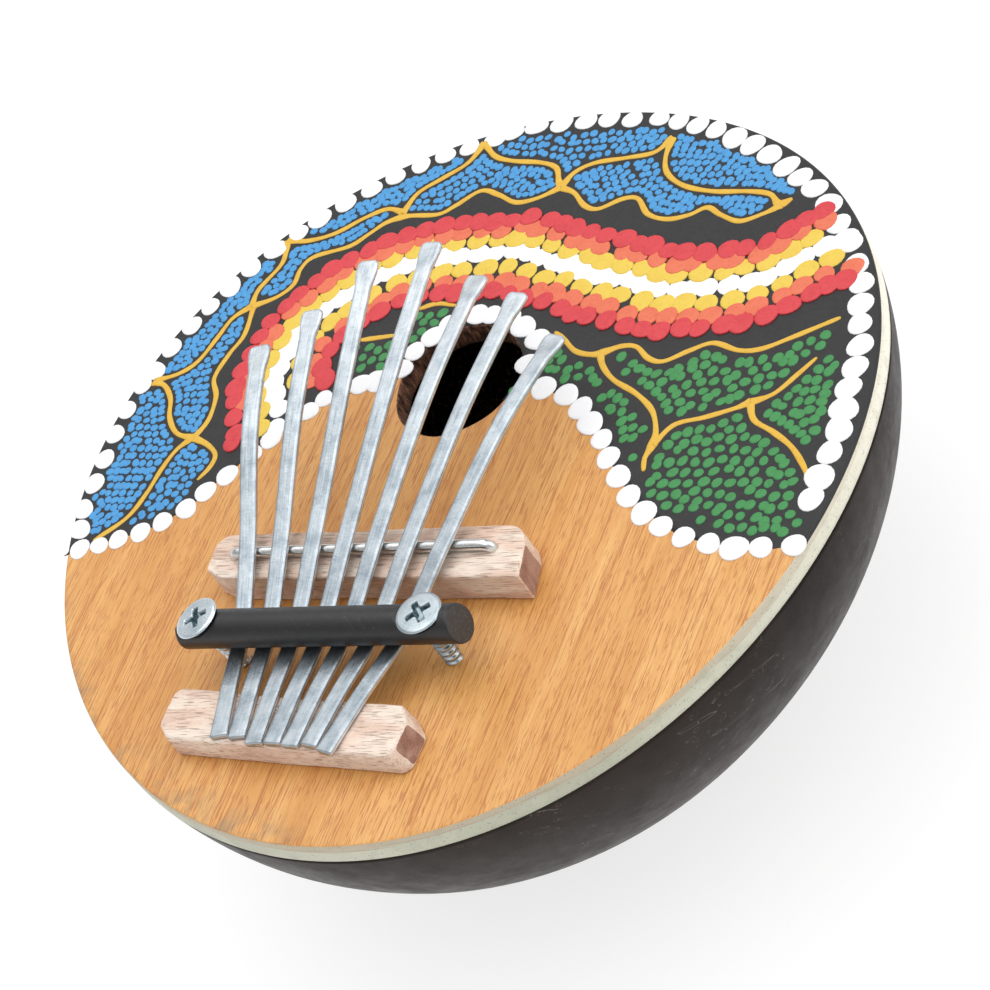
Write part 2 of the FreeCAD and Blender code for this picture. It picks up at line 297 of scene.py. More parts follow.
@dataclass(frozen=True)
class Nodes:
    """A node tree, with the few steps that every finish is made of.

    Attributes:
        tree: the tree of a material, of the sky or of a shared effect.
    """

    tree: bpy.types.NodeTree

    def feed(self, node: bpy.types.Node, inputs: dict) -> None:
        """Links or sets each of these inputs of a node."""
        for key, value in inputs.items():
            if isinstance(value, Socket):
                self.tree.links.new(value, node.inputs[key])
            else:
                node.inputs[key].default_value = value

    def add(self, kind: str, inputs: dict | None = None, **settings: object) -> bpy.types.Node:
        """Adds a node, sets its options and feeds its inputs."""
        node = self.tree.nodes.new("ShaderNode" + kind)
        for key, value in settings.items():
            setattr(node, key, value)
        self.feed(node, inputs or {})
        return node

    def ramp(self, value: Socket, *stops: tuple[float, Colour]) -> Socket:
        """Turns a value into a colour through the given stops."""
        node = self.add("ValToRGB", {"Fac": value})
        elements = node.color_ramp.elements
        while len(elements) < len(stops):
            elements.new(0.5)
        for element, (at, colour) in zip(elements, stops):
            element.position, element.color = at, (*colour, 1)
        return node.outputs["Color"]

    def fit(self, value: Socket, source: Sequence, target: Sequence = (0, 1)) -> Socket:
        """Carries a value from one range to another, held inside the second."""
        ends = dict(zip(("From Min", "From Max", "To Min", "To Max"), (*source, *target)))
        return self.add("MapRange", {"Value": value, **ends}).outputs["Result"]

    def maths(self, operation: str, a: object, b: object = 0.0) -> Socket:
        """One step of arithmetic on two values or sockets."""
        return self.add("Math", {0: a, 1: b}, operation=operation).outputs[0]

    def times(self, a: Socket, b: object) -> Socket:
        """The product of a socket and a value or socket."""
        return self.maths("MULTIPLY", a, b)

    def minus(self, a: Socket, b: object) -> Socket:
        """The difference of a socket and a value or socket."""
        return self.maths("SUBTRACT", a, b)

    def plus(self, total: Socket, *others: Socket) -> Socket:
        """The sum of sockets, added from left to right."""
        for other in others:
            total = self.maths("ADD", total, other)
        return total

    def vector(self, operation: str, a: Socket, b: object = (0, 0, 0)) -> bpy.types.NodeOutputs:
        """The outputs of one step of arithmetic on vectors."""
        return self.add("VectorMath", {0: a, 1: b}, operation=operation).outputs

    def divided(self, vector: Socket, across: Socket, along: Socket) -> Socket:
        """A vector divided by one length along Y and another across it."""
        size = self.add("CombineXYZ", {0: across, 1: along, 2: across}).outputs[0]
        return self.vector("DIVIDE", vector, size)[0]

    def layers(self, tone: Socket | Colour, *coats: tuple[Socket, Colour]) -> Socket:
        """Lays colours over a tone one after another, each by its own amount."""
        for amount, colour in coats:
            under = (*tone, 1) if isinstance(tone, tuple) else tone
            mixed = self.add("Mix", {0: amount, 6: under, 7: (*colour, 1)}, data_type="RGBA")
            tone = mixed.outputs[2]
        return tone

    def millimetres(self, stretch: Direction = (1, 1, 1), turn: float = 0.0) -> Socket:
        """Object coordinates in millimetres, turned about Z and divided by the stretch."""
        at = self.add("TexCoord").outputs["Object"]
        turned = self.add("Mapping", {"Vector": at, "Rotation": (0, 0, turn)}).outputs[0]
        scale = tuple(1 / MM / s for s in stretch)
        return self.add("Mapping", {"Vector": turned, "Scale": scale}).outputs[0]

    def noise(self, vector: Socket, scale: float = 1.0, detail: float = 3.0, rough: float = 0.55,
              twist: float = 0.0) -> Socket:
        """Value of Blender's noise at a vector."""
        return self.add("TexNoise", {"Vector": vector, "Scale": scale, "Detail": detail,
                                     "Roughness": rough, "Distortion": twist}).outputs["Fac"]

    def bump(self, height: Socket, depth: float, strength: float = 1.0) -> Socket:
        """The normal of a relief that is this many millimetres deep."""
        return self.add("Bump", {"Height": height, "Distance": depth * MM,
                                 "Strength": strength}).outputs["Normal"]

    def effect(self, kind: Effect, **values: object) -> bpy.types.NodeOutputs:
        """The outputs of a shared effect, whose group is made the first time."""
        group = bpy.data.node_groups.get(kind.value) or GROUP_MAKERS[kind]()
        node = self.add("Group", node_tree=group)
        self.feed(node, {label.replace("_", " "): value for label, value in values.items()})
        return node.outputs

    def mottle(self, vector: Socket, size: float) -> bpy.types.NodeOutputs:
        """The mottling effect with blotches of this many millimetres."""
        return self.effect(Effect.MOTTLE, Vector=vector, Size=size)


def new_group(kind: Effect, sizes: Sequence[str], outputs: Sequence[str]) -> tuple:
    """An empty group that takes a vector and some sizes: its nodes, inputs and output node."""
    tree = bpy.data.node_groups.new(kind.value, "ShaderNodeTree")
    tree.interface.new_socket("Vector", in_out="INPUT", socket_type="NodeSocketVector")
    for in_out, labels in (("INPUT", sizes), ("OUTPUT", outputs)):
        for label in labels:
            tree.interface.new_socket(label, in_out=in_out, socket_type="NodeSocketFloat")
    return Nodes(tree), tree.nodes.new("NodeGroupInput").outputs, tree.nodes.new("NodeGroupOutput")


def grain_group() -> bpy.types.NodeTree:
    """Wood: broad figure, and short dark pores that lie along the group's Y."""
    nodes, given, out = new_group(Effect.GRAIN, ("Pore Width", "Pore Length"),
                                  ("Figure", "Pores", "Fibre"))
    wide, long = given["Pore Width"], given["Pore Length"]

    def stretched(across: Socket, along: Socket, shift: float) -> Socket:
        """The vector divided by a width across the grain and a length along it, then moved."""
        return nodes.vector("ADD", nodes.divided(given["Vector"], across, along), (shift,) * 3)[0]

    figure = nodes.noise(stretched(nodes.times(wide, 24), nodes.times(long, 4), 3.1),
                         detail=4, twist=0.6)
    fibre = nodes.noise(stretched(nodes.times(wide, 0.8), nodes.times(long, 1.2), 8.7), detail=2)
    dashes = nodes.noise(stretched(wide, long, 0.0), detail=1.5, rough=0.4)
    groups = nodes.noise(stretched(nodes.times(wide, 12), nodes.times(long, 1.5), 5.5), detail=2)
    threshold = nodes.fit(groups, (0.35, 0.65), (0.63, 0.55))
    pores = nodes.fit(dashes, (threshold, nodes.maths("ADD", threshold, 0.06)))
    nodes.feed(out, {"Figure": figure, "Pores": pores, "Fibre": fibre})
    return nodes.tree


def scratch_group() -> bpy.types.NodeTree:
    """Hairline scratches: thin bands of stretched noise in two crossing directions."""
    nodes, given, out = new_group(Effect.SCRATCH, ("Spacing",), ("Lines",))
    spacing, masks = given["Spacing"], []
    for turn, shift in ((0.45, 1.7), (-0.8, 9.2)):
        turned = nodes.add("Mapping", {"Vector": given["Vector"], "Rotation": (turn, 0.3, turn),
                                       "Location": (shift,) * 3}).outputs[0]
        long = nodes.divided(turned, spacing, nodes.times(spacing, 30))
        from_line = nodes.minus(nodes.noise(long, detail=1, rough=0.3), 0.66)
        masks.append(nodes.fit(nodes.maths("ABSOLUTE", from_line), (0.0, 0.012), (1, 0)))
    patches = nodes.fit(nodes.noise(given["Vector"], scale=0.06, detail=2), (0.5, 0.62))
    nodes.feed(out, {"Lines": nodes.times(nodes.maths("MAXIMUM", *masks), patches)})
    return nodes.tree


def mottle_group() -> bpy.types.NodeTree:
    """Soft blotches with a finer speckle, both from 0 to 1."""
    nodes, given, out = new_group(Effect.MOTTLE, ("Size",), ("Blotch", "Speckle"))
    scaled = nodes.divided(given["Vector"], given["Size"], given["Size"])
    speckle = nodes.noise(scaled, scale=6.0, detail=3, rough=0.7)
    nodes.feed(out, {"Blotch": nodes.fit(nodes.noise(scaled, detail=3), (0.3, 0.7)),
                     "Speckle": nodes.fit(speckle, (0.3, 0.7))})
    return nodes.tree


GROUP_MAKERS: dict[Effect, Callable[[], bpy.types.NodeTree]] = {
    Effect.GRAIN: grain_group, Effect.SCRATCH: scratch_group, Effect.MOTTLE: mottle_group}


@dataclass(frozen=True)
class Finish:
    """A surface finish: what all of them share, and the material that each one builds.

    Attributes:
        name: the material's name.
        colour: main colour, linear.
        rough: roughness of the plain surface.
    """

    name: str
    colour: Colour
    rough: float

    def material(self) -> bpy.types.Material:
        """The finish's material, made the first time it is asked for."""
        made = bpy.data.materials.get(self.name)
        if not made:
            made = bpy.data.materials.new(self.name)
            made.use_nodes = True
            nodes = Nodes(made.node_tree)
            shader = nodes.tree.nodes["Principled BSDF"]
            nodes.feed(shader, {"Roughness": self.rough, "Base Color": (*self.colour, 1)})
            nodes.feed(shader, self.coat(nodes))
        return made

    def coat(self, nodes: Nodes) -> dict[str, object]:
        """What sets this finish apart, by shader input; the plain one has nothing more."""
        return {}

    def gloss(self, nodes: Nodes, value: Socket, less: float, more: float) -> Socket:
        """Roughness from a little less to a little more than its own, as a value goes to 1."""
        return nodes.fit(value, (0, 1), (self.rough - less, self.rough + more))


@dataclass(frozen=True)
class OiledPly(Finish):
    """Honey-coloured face veneer with long fine red-brown grain lines and rubbed-in dirt.

    Attributes:
        light, pale: the lighter two of its three broad tones.
        pore: colour of the grain lines.
        amount: strength of the lines.
        fibre, dirt: colours of the fibre and of the dirt.
        lean: angle of the grain to the board's Y.
        dirty_rim: distances from the middle between which the dirt sets in.
    """

    light: Colour = (0.735, 0.385, 0.117)
    pale: Colour = (0.81, 0.465, 0.163)
    pore: Colour = (0.40, 0.115, 0.026)
    amount: float = 0.62
    fibre: Colour = (0.56, 0.22, 0.05)
    dirt: Colour = (0.20, 0.17, 0.13)
    lean: float = math.radians(3)
    dirty_rim: Span = (66, 72.5)

    def coat(self, nodes: Nodes) -> dict[str, object]:
        """Broad figure, grain lines, short pores, cloudy varnish, and dirt at the near left rim."""
        at = nodes.millimetres(turn=self.lean)
        grain = nodes.effect(Effect.GRAIN, Vector=at, Pore_Width=0.18, Pore_Length=12.0)
        pits = nodes.effect(Effect.GRAIN, Vector=at, Pore_Width=0.2, Pore_Length=2.4)
        cloud, dirt = nodes.mottle(at, 24.0), nodes.mottle(at, 4.0)
        axes = nodes.add("SeparateXYZ", {0: at}).outputs
        corner = nodes.times(nodes.fit(axes["Y"], (-20, -50)), nodes.fit(axes["X"], (15, -20)))
        distance_out = nodes.vector("LENGTH", nodes.vector("MULTIPLY", at, (1, 1, 0))[0])["Value"]
        stain = nodes.times(nodes.times(nodes.fit(distance_out, self.dirty_rim), corner),
                            nodes.fit(dirt["Blotch"], (0.4, 0.95), (0, 0.7)))
        figure = nodes.ramp(grain["Figure"], (0.36, self.colour), (0.5, self.light),
                            (0.68, self.pale))
        tone = nodes.layers(
            figure,
            (nodes.fit(cloud["Blotch"], (0, 1), (0.0, 0.3)), self.colour),
            (nodes.fit(grain["Fibre"], (0.4, 0.66), (0.0, 0.5)), self.fibre),
            (nodes.times(grain["Pores"], self.amount), self.pore),
            (nodes.times(pits["Pores"], self.amount * 0.9), self.pore),
            (stain, self.dirt))
        sunk = nodes.maths("MAXIMUM", grain["Pores"], pits["Pores"])
        relief = nodes.minus(nodes.times(grain["Fibre"], 0.35), sunk)
        return {"Base Color": tone, "Roughness": self.gloss(nodes, cloud["Speckle"], 0.06, 0.1),
                "Normal": nodes.bump(relief, 0.04, 0.5)}


@dataclass(frozen=True)
class EdgeLacquer(Finish):
    """Thin pale green-grey paint over the sawn edge of the plywood, its top ply showing through.

    Attributes:
        ply, glue: colours of the top ply and of the glue line below it.
        cream: colour of the paler patches, which grow steadily towards the far right.
        pinhole, grime: colours of the pinholes and of the dirt.
        top_ply: how thick the top ply is.
    """

    ply: Colour = (0.50, 0.41, 0.29)
    cream: Colour = (0.89, 0.84, 0.71)
    glue: Colour = (0.33, 0.19, 0.10)
    pinhole: Colour = (0.13, 0.13, 0.10)
    grime: Colour = (0.30, 0.31, 0.24)
    top_ply: float = 1.4

    def coat(self, nodes: Nodes) -> dict[str, object]:
        """Brownish top ply, paint below it in cream and green patches, dark pinholes."""
        at = nodes.millimetres()
        plies = nodes.noise(nodes.millimetres((20, 20, 0.5)), detail=2)
        patch, fine = nodes.mottle(at, 34.0), nodes.mottle(at, 2.4)
        axes = nodes.add("SeparateXYZ", {0: at}).outputs
        to_far_right = nodes.plus(nodes.times(axes["X"], 0.62), nodes.times(axes["Y"], 0.79))
        # the edge turns steadily paler and more cream towards the far right, and its top ply and
        # glue line show more towards the near left
        far_right_share = nodes.fit(to_far_right, (-10, 60))
        patchy = nodes.maths("MAXIMUM", nodes.fit(patch["Blotch"], (0.35, 0.9), (0, 0.35)), far_right_share)
        level = nodes.plus(axes["Z"], nodes.fit(plies, (0.3, 0.7), (-0.7, 0.7)))
        ply_showing = nodes.fit(far_right_share, (0, 1), (0.8, 0.1))
        glue_z = BOARD_TOP - self.top_ply
        top = nodes.times(nodes.fit(level, (glue_z - 0.3, glue_z + 0.3)), ply_showing)
        from_glue = nodes.maths("ABSOLUTE", nodes.minus(level, glue_z))
        line = nodes.times(nodes.fit(from_glue, (0, 0.22), (0.6, 0)), ply_showing)
        holes = nodes.noise(at, scale=3.6, detail=1, rough=0.4)
        tone = nodes.layers(
            self.colour, (patchy, self.cream), (top, self.ply), (line, self.glue),
            (nodes.fit(holes, (0.68, 0.73), (0, 0.8)), self.pinhole),
            (nodes.fit(fine["Blotch"], (0.5, 1), (0, 0.25)), self.grime))
        return {"Base Color": tone, "Normal": nodes.bump(nodes.minus(plies, holes), 0.06, 0.6)}


@dataclass(frozen=True)
class ScorchedWood(Finish):
    """A bored or scraped wall that was never painted: dark fibre, near black to light brown.

    Attributes:
        char, splinter: its darkest and its lightest tone.
    """

    char: Colour = (0.012, 0.006, 0.004)
    splinter: Colour = (0.42, 0.24, 0.14)

    def coat(self, nodes: Nodes) -> dict[str, object]:
        """Brown and black fibres standing on end."""
        streak = nodes.noise(nodes.millimetres((0.7, 0.7, 3.0)), detail=4, rough=0.7)
        tone = nodes.ramp(streak, (0.38, self.char), (0.55, self.colour), (0.72, self.splinter))
        return {"Base Color": tone, "Normal": nodes.bump(streak, 0.4)}


@dataclass(frozen=True)
class NutLacquer(Finish):
    """Polished coconut shell: near black, with faint brown figure and hairline scratches.

    Attributes:
        cloud, fleck, scratch: colours of its broad figure, its specks and its scratches.
        specular: strength of its reflection.
    """

    cloud: Colour = (0.032, 0.023, 0.019)
    fleck: Colour = (0.055, 0.043, 0.036)
    scratch: Colour = (0.33, 0.29, 0.25)
    specular: float = 0.07

    def coat(self, nodes: Nodes) -> dict[str, object]:
        """Brown cloud and specks in the black, under pale scratches."""
        at = nodes.millimetres()
        cloud, fleck = nodes.mottle(at, 26.0), nodes.mottle(at, 3.0)
        lines = nodes.effect(Effect.SCRATCH, Vector=at, Spacing=1.6)["Lines"]
        tone = nodes.layers(
            nodes.ramp(cloud["Blotch"], (0.2, self.colour), (0.85, self.cloud)),
            (nodes.fit(fleck["Speckle"], (0.6, 1.0), (0, 0.3)), self.fleck),
            (nodes.times(lines, 0.4), self.scratch))
        return {"Base Color": tone, "Roughness": self.gloss(nodes, cloud["Speckle"], 0.05, 0.1),
                "Specular IOR Level": self.specular,
                "Normal": nodes.bump(nodes.minus(fleck["Blotch"], lines), 0.02, 0.3)}


@dataclass(frozen=True)
class BrushedPaint(Finish):
    """Craft paint put on with a brush or a stick: even colour with soft ridges.

    Attributes:
        shade: colour where the paint lies thinner, and painted shade on the brush ridges.
        ridge: depth of the brush ridges.
        specular: strength of its reflection.
    """

    shade: Colour
    ridge: float
    specular: float = 0.34

    def coat(self, nodes: Nodes) -> dict[str, object]:
        """Ridges curl about at the width of a brush hair; colour darkens on them, partly as thinner
        paint and partly as painted shade of their relief.
        """
        at = nodes.millimetres()
        curl = nodes.noise(at, scale=1.3, detail=3, rough=0.6, twist=1.6)
        patch = nodes.mottle(at, 3.2)
        # darker on the ridges and in blotches: thinner paint, and painted shade standing in for the
        # ridges' relief
        thin_and_shaded = nodes.plus(nodes.times(nodes.fit(curl, (0.5, 0.68)), 0.55),
                          nodes.fit(patch["Blotch"], (0.4, 1), (0, 0.3)))
        return {"Base Color": nodes.layers(self.colour, (thin_and_shaded, self.shade)),
                "Roughness": self.gloss(nodes, patch["Speckle"], 0.08, 0.1),
                "Specular IOR Level": self.specular, "Normal": nodes.bump(curl, self.ridge, 0.7)}


@dataclass(frozen=True)
class RawWood(Finish):
    """Sawn, unfinished pinkish wood with dark fibre along X.

    Attributes:
        middle, pale: the lighter two of its three tones.
        pore: colour of the fibres' dark ends.
        length: of the fibre marks.
    """

    middle: Colour = (0.86, 0.65, 0.53)
    pale: Colour = (0.94, 0.81, 0.69)
    pore: Colour = (0.27, 0.125, 0.08)
    length: float = 3.4

    def coat(self, nodes: Nodes) -> dict[str, object]:
        """Fibres run along the block; pale saw fuzz stands on top."""
        at = nodes.millimetres(turn=math.radians(90))
        grain = nodes.effect(Effect.GRAIN, Vector=at, Pore_Width=0.16, Pore_Length=self.length)
        fuzz = nodes.mottle(at, 1.4)["Speckle"]
        darker = tuple(0.6 * c for c in self.middle)
        paler = tuple(min(1, 1.08 * c) for c in self.pale)
        tone = nodes.layers(
            nodes.ramp(grain["Figure"], (0.34, self.colour), (0.48, self.middle),
                       (0.62, self.pale)),
            (nodes.fit(grain["Fibre"], (0.45, 0.75), (0.0, 0.4)), darker),
            (nodes.times(grain["Pores"], 0.6), self.pore),
            (nodes.fit(fuzz, (0.55, 1.0), (0, 0.35)), paler))
        relief = nodes.plus(nodes.minus(grain["Fibre"], grain["Pores"]), fuzz)
        return {"Base Color": tone, "Normal": nodes.bump(relief, 0.08, 0.8)}


@dataclass(frozen=True)
class WornSteel(Finish):
    """Plated or drawn steel: cloudy, with drawing lines along the piece's own length.

    Attributes:
        dull: colour of the cloudier patches.
        lines: depth of the drawing lines.
        length: how long the lines are against their width.
        handled: how much duller it is near its clamped part than at its playing end.
    """

    dull: Colour
    lines: float
    length: float
    handled: float = 0.0

    def coat(self, nodes: Nodes) -> dict[str, object]:
        """Cloud and speckle set colour and gloss; lines and dents follow the piece's own map."""
        at = nodes.millimetres()
        cloud, spot = nodes.mottle(at, 3.0), nodes.mottle(at, 0.9)
        own = nodes.add("UVMap", uv_map="along").outputs["UV"]
        drawn, rippled = (nodes.add("Mapping", {"Vector": own, "Scale": scale}).outputs[0]
                          for scale in ((1 / self.length, 3.0, 1.0), (3.4, 0.9, 1.0)))
        line = nodes.noise(drawn, detail=3, rough=0.6)
        dents = nodes.noise(rippled, detail=2, rough=0.5)
        run = nodes.add("SeparateXYZ", {0: own}).outputs["X"]
        amount = nodes.plus(
            nodes.fit(cloud["Blotch"], (0.2, 1), (0, 0.55)),
            nodes.fit(spot["Speckle"], (0.5, 1), (0, 0.2)),
            nodes.fit(line, (0.45, 0.7), (0, 0.35)),
            nodes.fit(dents, (0.42, 0.68), (0, 0.16)),
            nodes.fit(run, (14, 38), (self.handled, -0.15)))
        gloss = nodes.plus(nodes.fit(spot["Speckle"], (0.2, 0.9), (-0.07, 0.12)),
                           nodes.fit(line, (0.35, 0.65), (self.rough - 0.06, self.rough + 0.06)))
        relief = nodes.plus(line, nodes.times(dents, 1.5))
        return {"Base Color": nodes.layers(self.colour, (amount, self.dull)), "Roughness": gloss,
                "Metallic": 1.0, "Normal": nodes.bump(relief, self.lines, 0.8)}


@dataclass(frozen=True)
class BlackEnamel(Finish):
    """Satin black coating on the clamp rod, rubbed through in hairlines.

    Attributes:
        bare: how much of the metal shows through the scratches.
        metal: the metal's colour.
    """

    bare: float
    metal: Colour = (0.22, 0.22, 0.22)

    def coat(self, nodes: Nodes) -> dict[str, object]:
        """Fine orange-peel skin with rubbed lines."""
        at = nodes.millimetres()
        lines = nodes.effect(Effect.SCRATCH, Vector=at, Spacing=0.35)["Lines"]
        skin = nodes.mottle(at, 1.1)
        worn = nodes.plus(nodes.times(lines, self.bare),
                          nodes.fit(skin["Speckle"], (0.7, 1), (0, self.bare / 3)))
        return {"Base Color": nodes.layers(self.colour, (worn, self.metal)),
                "Roughness": self.gloss(nodes, skin["Blotch"], 0.06, 0.08),
                "Normal": nodes.bump(skin["Speckle"], 0.02, 0.5)}


@dataclass(frozen=True)
class PaperFloor(Finish):
    """Pale studio paper with a light of its own and the faintest tooth.

    Attributes:
        glow: its own light.
        tooth: colour of the grain.
    """

    glow: float = 0.75
    tooth: Colour = (0.27, 0.27, 0.27)

    def coat(self, nodes: Nodes) -> dict[str, object]:
        """Very fine grain only."""
        fine = nodes.fit(nodes.noise(nodes.millimetres((2, 2, 2)), detail=2), (0.3, 0.7), (0, 0.1))
        return {"Base Color": nodes.layers(self.colour, (fine, self.tooth)),
                "Emission Color": (1, 1, 1, 1), "Emission Strength": self.glow}


class Paint(Enum):
    """The colours on the board."""

    BLACK = BrushedPaint("paint_black", (0.020, 0.020, 0.021), 0.5, (0.030, 0.030, 0.031), 0.015)
    WHITE = BrushedPaint("paint_white", (0.90, 0.905, 0.92), 0.5, (0.82, 0.83, 0.86), 0.03)
    RED = BrushedPaint("paint_red", (0.65, 0.054, 0.064), 0.42, (0.50, 0.025, 0.040), 0.06)
    ORANGE = BrushedPaint("paint_orange", (0.745, 0.172, 0.088), 0.42, (0.64, 0.105, 0.050), 0.06)
    YELLOW = BrushedPaint("paint_yellow", (0.765, 0.55, 0.078), 0.42, (0.69, 0.44, 0.042), 0.06)
    BLUE = BrushedPaint("paint_blue", (0.070, 0.315, 0.64), 0.45, (0.040, 0.215, 0.50), 0.04)
    GREEN = BrushedPaint("paint_green", (0.052, 0.265, 0.078), 0.45, (0.033, 0.185, 0.05), 0.04)
    GOLD = BrushedPaint("paint_gold", (0.73, 0.445, 0.052), 0.42, (0.65, 0.34, 0.026), 0.05)


VENEER = OiledPly("board_veneer", (0.655, 0.315, 0.083), 0.42)
BACK_VENEER = OiledPly("board_back", (0.45, 0.30, 0.17), 0.7, (0.52, 0.36, 0.21),
                       (0.60, 0.43, 0.27), (0.2, 0.11, 0.06), 0.4)
BOARD_EDGE = EdgeLacquer("board_edge", (0.45, 0.455, 0.345), 0.5)
HOLE_WALL = ScorchedWood("hole_wall", (0.17, 0.068, 0.036), 0.85)
SHELL_OUTSIDE = NutLacquer("shell_outside", (0.015, 0.010, 0.008), 0.36)
SHELL_INSIDE = ScorchedWood("shell_inside", (0.05, 0.028, 0.016), 0.9)
BLOCK_WOOD = RawWood("block_wood", (0.77, 0.54, 0.43), 0.8)
# a darker copy of the block wood for the two sawn ends: end grain, and painted shade of these
# upright faces
END_GRAIN_AND_SHADE = RawWood("block_end_grain_and_shade", (0.27, 0.13, 0.088), 0.85, (0.37, 0.195, 0.145),
                    (0.49, 0.31, 0.24), (0.15, 0.065, 0.045), 0.4)
STRIP_STEEL = WornSteel("strip_steel", (0.575, 0.62, 0.655), 0.36, (0.27, 0.32, 0.36), 0.03, 9.0,
                        0.25)
# a paler copy of the strip steel for the tongues' upright cut faces: painted highlight
STRIP_EDGE_HIGHLIGHT = WornSteel("strip_edge_highlight", (0.88, 0.89, 0.90), 0.5, (0.62, 0.64, 0.66), 0.02, 9.0)
WIRE_STEEL = WornSteel("wire_steel", (0.78, 0.79, 0.78), 0.16, (0.5, 0.51, 0.5), 0.01, 20.0)
ZINC = WornSteel("screw_zinc", (0.76, 0.84, 0.89), 0.3, (0.46, 0.55, 0.60), 0.012, 3.0)
DULL_ZINC = WornSteel("screw_zinc_dull", (0.50, 0.56, 0.59), 0.33, (0.30, 0.36, 0.39), 0.012, 3.0)
# a darker copy of the zinc for the cross recesses: painted shade
RECESS_SHADE = WornSteel("screw_recess_shade", (0.38, 0.46, 0.49), 0.3, (0.14, 0.19, 0.21), 0.02, 3.0)
ROD_BLACK = BlackEnamel("rod_black", (0.010, 0.010, 0.011), 0.36, 0.2)
ROD_CUT = BlackEnamel("rod_cut_end", (0.03, 0.03, 0.032), 0.45, 0.8)
PAPER = PaperFloor("studio_paper", (0.3, 0.3, 0.3), 0.7)


def dress_piece(piece: bpy.types.Object, slot: str, *finishes: Finish, node: str = "") -> None:
    """Gives a piece its materials, and hides the CAD node it stands for."""
    for finish in finishes:
        piece.data.materials.append(finish.material())
    if node:
        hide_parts(node)
    log.info("%s: %d faces", piece.name, len(piece.data.polygons))


def fix_piece(piece: bpy.types.Object, slot: str, *finishes: Finish, node: str = "") -> None:
    """Dresses a piece that never moves against the shell, and lets it ride on the body."""
    dress_piece(piece, slot, *finishes, node=node)
    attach(piece, BODY)


# ---------------------------------------------------------------- the coconut and its board


@dataclass(frozen=True)
class Rim:
    """The coconut's outline, a circle with three low lobes: r = R + h cos 3(a - a0).

    Attributes:
        radius: mean radius, R.
        lobe: how far a lobe stands out, h.
        first: direction of the first lobe, a0.
    """

    radius: float = float((high("soundboard") - low("soundboard"))[:2].mean() / 2)
    lobe: float = 1.1
    first: float = math.radians(41.6)

    def at(self, angle: Array, inset: Array | float = 0.0) -> Array:
        """Points (x, y) of the outline at these directions, drawn in by inset."""
        reach = self.radius + self.lobe * np.cos(3 * (angle - self.first)) - inset
        return np.stack([reach * np.cos(angle), reach * np.sin(angle)], axis=-1)


RIM = Rim()
BOARD_LOW = float(low("soundboard")[2])
BOARD_TOP = float(high("soundboard")[2])


@dataclass
class CoconutShell:
    """Half a coconut, polished outside, rough inside, sanded flat where it stands.

    Attributes:
        wall: thickness of the nut.
        widest_above_rim: how far above the rim the whole nut was widest.
        depth: of the nut below its rim, before its foot was sanded.
        foot_radius, floor_radius: of the flats outside and inside.
        uneven, uneven_size: height and length of the polished wall's waves.
        around: points round the rim.
        rim_z: height of the rim.
    """

    wall: float = 4.0
    widest_above_rim: float = 7.1
    depth: float = 55.0
    foot_radius: float = 15.0
    floor_radius: float = 12.0
    uneven: float = 0.22
    uneven_size: float = 34
    around: int = 192
    rim_z: float = float(high("coconut_shell")[2])

    def curve(self, wall: float, end_radius: float, count: int) -> Array:
        """(inset, z) along the half ellipse of the nut, less a wall, from rim to end_radius."""
        tall = self.depth + self.widest_above_rim - wall
        nut = RIM.radius / math.sqrt(1 - (self.widest_above_rim / (tall + wall))**2) - wall
        angle = np.linspace(math.asin(self.widest_above_rim / tall),
                            math.acos(end_radius / nut), count)
        z = self.rim_z + self.widest_above_rim - tall * np.sin(angle)
        return np.stack([RIM.radius - nut * np.cos(angle), z], axis=1)

    def build(self) -> None:
        """One skin carried round the rim: foot, outside, rim edge, inside, floor."""
        outside = self.curve(0.0, self.foot_radius, 72)[::-1]
        inside = self.curve(self.wall, self.floor_radius, 40)
        outside[:, 1] = np.maximum(outside[:, 1], 0.0)
        foot = np.stack([RIM.radius - np.linspace(1.0, self.foot_radius - 0.3, 6),
                         np.zeros(6)], axis=1)
        floor = np.stack([RIM.radius - np.linspace(self.floor_radius - 1, 1.0, 5),
                          np.full(5, inside[-1, 1])], axis=1)
        profile = np.vstack([foot, outside, [[0.5, self.rim_z]], inside, floor])
        angle = round_about(self.around)
        flat = RIM.at(angle[None, :], profile[:, :1])
        grid = np.dstack([flat, np.broadcast_to(profile[:, 1:], flat.shape[:2])])
        # the polished wall is a little uneven, least at the rim and foot
        rows = np.zeros(len(profile))
        start, stop = len(foot), len(foot) + len(outside)
        rows[start:stop] = np.sin(np.linspace(0, np.pi, len(outside)))
        swell = self.uneven * waves(grid, self.uneven_size, 11, 2) * rows[:, None]
        grid[..., :2] *= (1 + swell / RIM.radius)[..., None]
        slots = np.zeros(len(profile) + 1, int)
        slots[stop + 1:] = 1
        fix_piece(tube_object("shell_lacquered", grid, slots), "shell",
                  SHELL_OUTSIDE, SHELL_INSIDE, node="coconut_shell")


@dataclass
class SoundHole:
    """The round hole under the tips.

    Attributes:
        centre: its middle, (x, y).
        radius: its mean radius.
    """

    centre: Array
    radius: float = 11.2

    def at(self, angle: Array, grow: Array | float = 0.0) -> Array:
        """Points (x, y) of its hand-bored edge, a slightly wavy circle."""
        reach = self.radius + 0.12 * np.sin(3 * angle + 1) + 0.08 * np.sin(7 * angle) + grow
        return self.centre + np.stack([reach * np.cos(angle), reach * np.sin(angle)], axis=-1)


HOLE = SoundHole(next(np.mean(opening["box_m"], axis=0)[:2] / MM
                      for opening in frame["record"]["physics"]["openings"]
                      if opening["name"] == "sound_hole"))


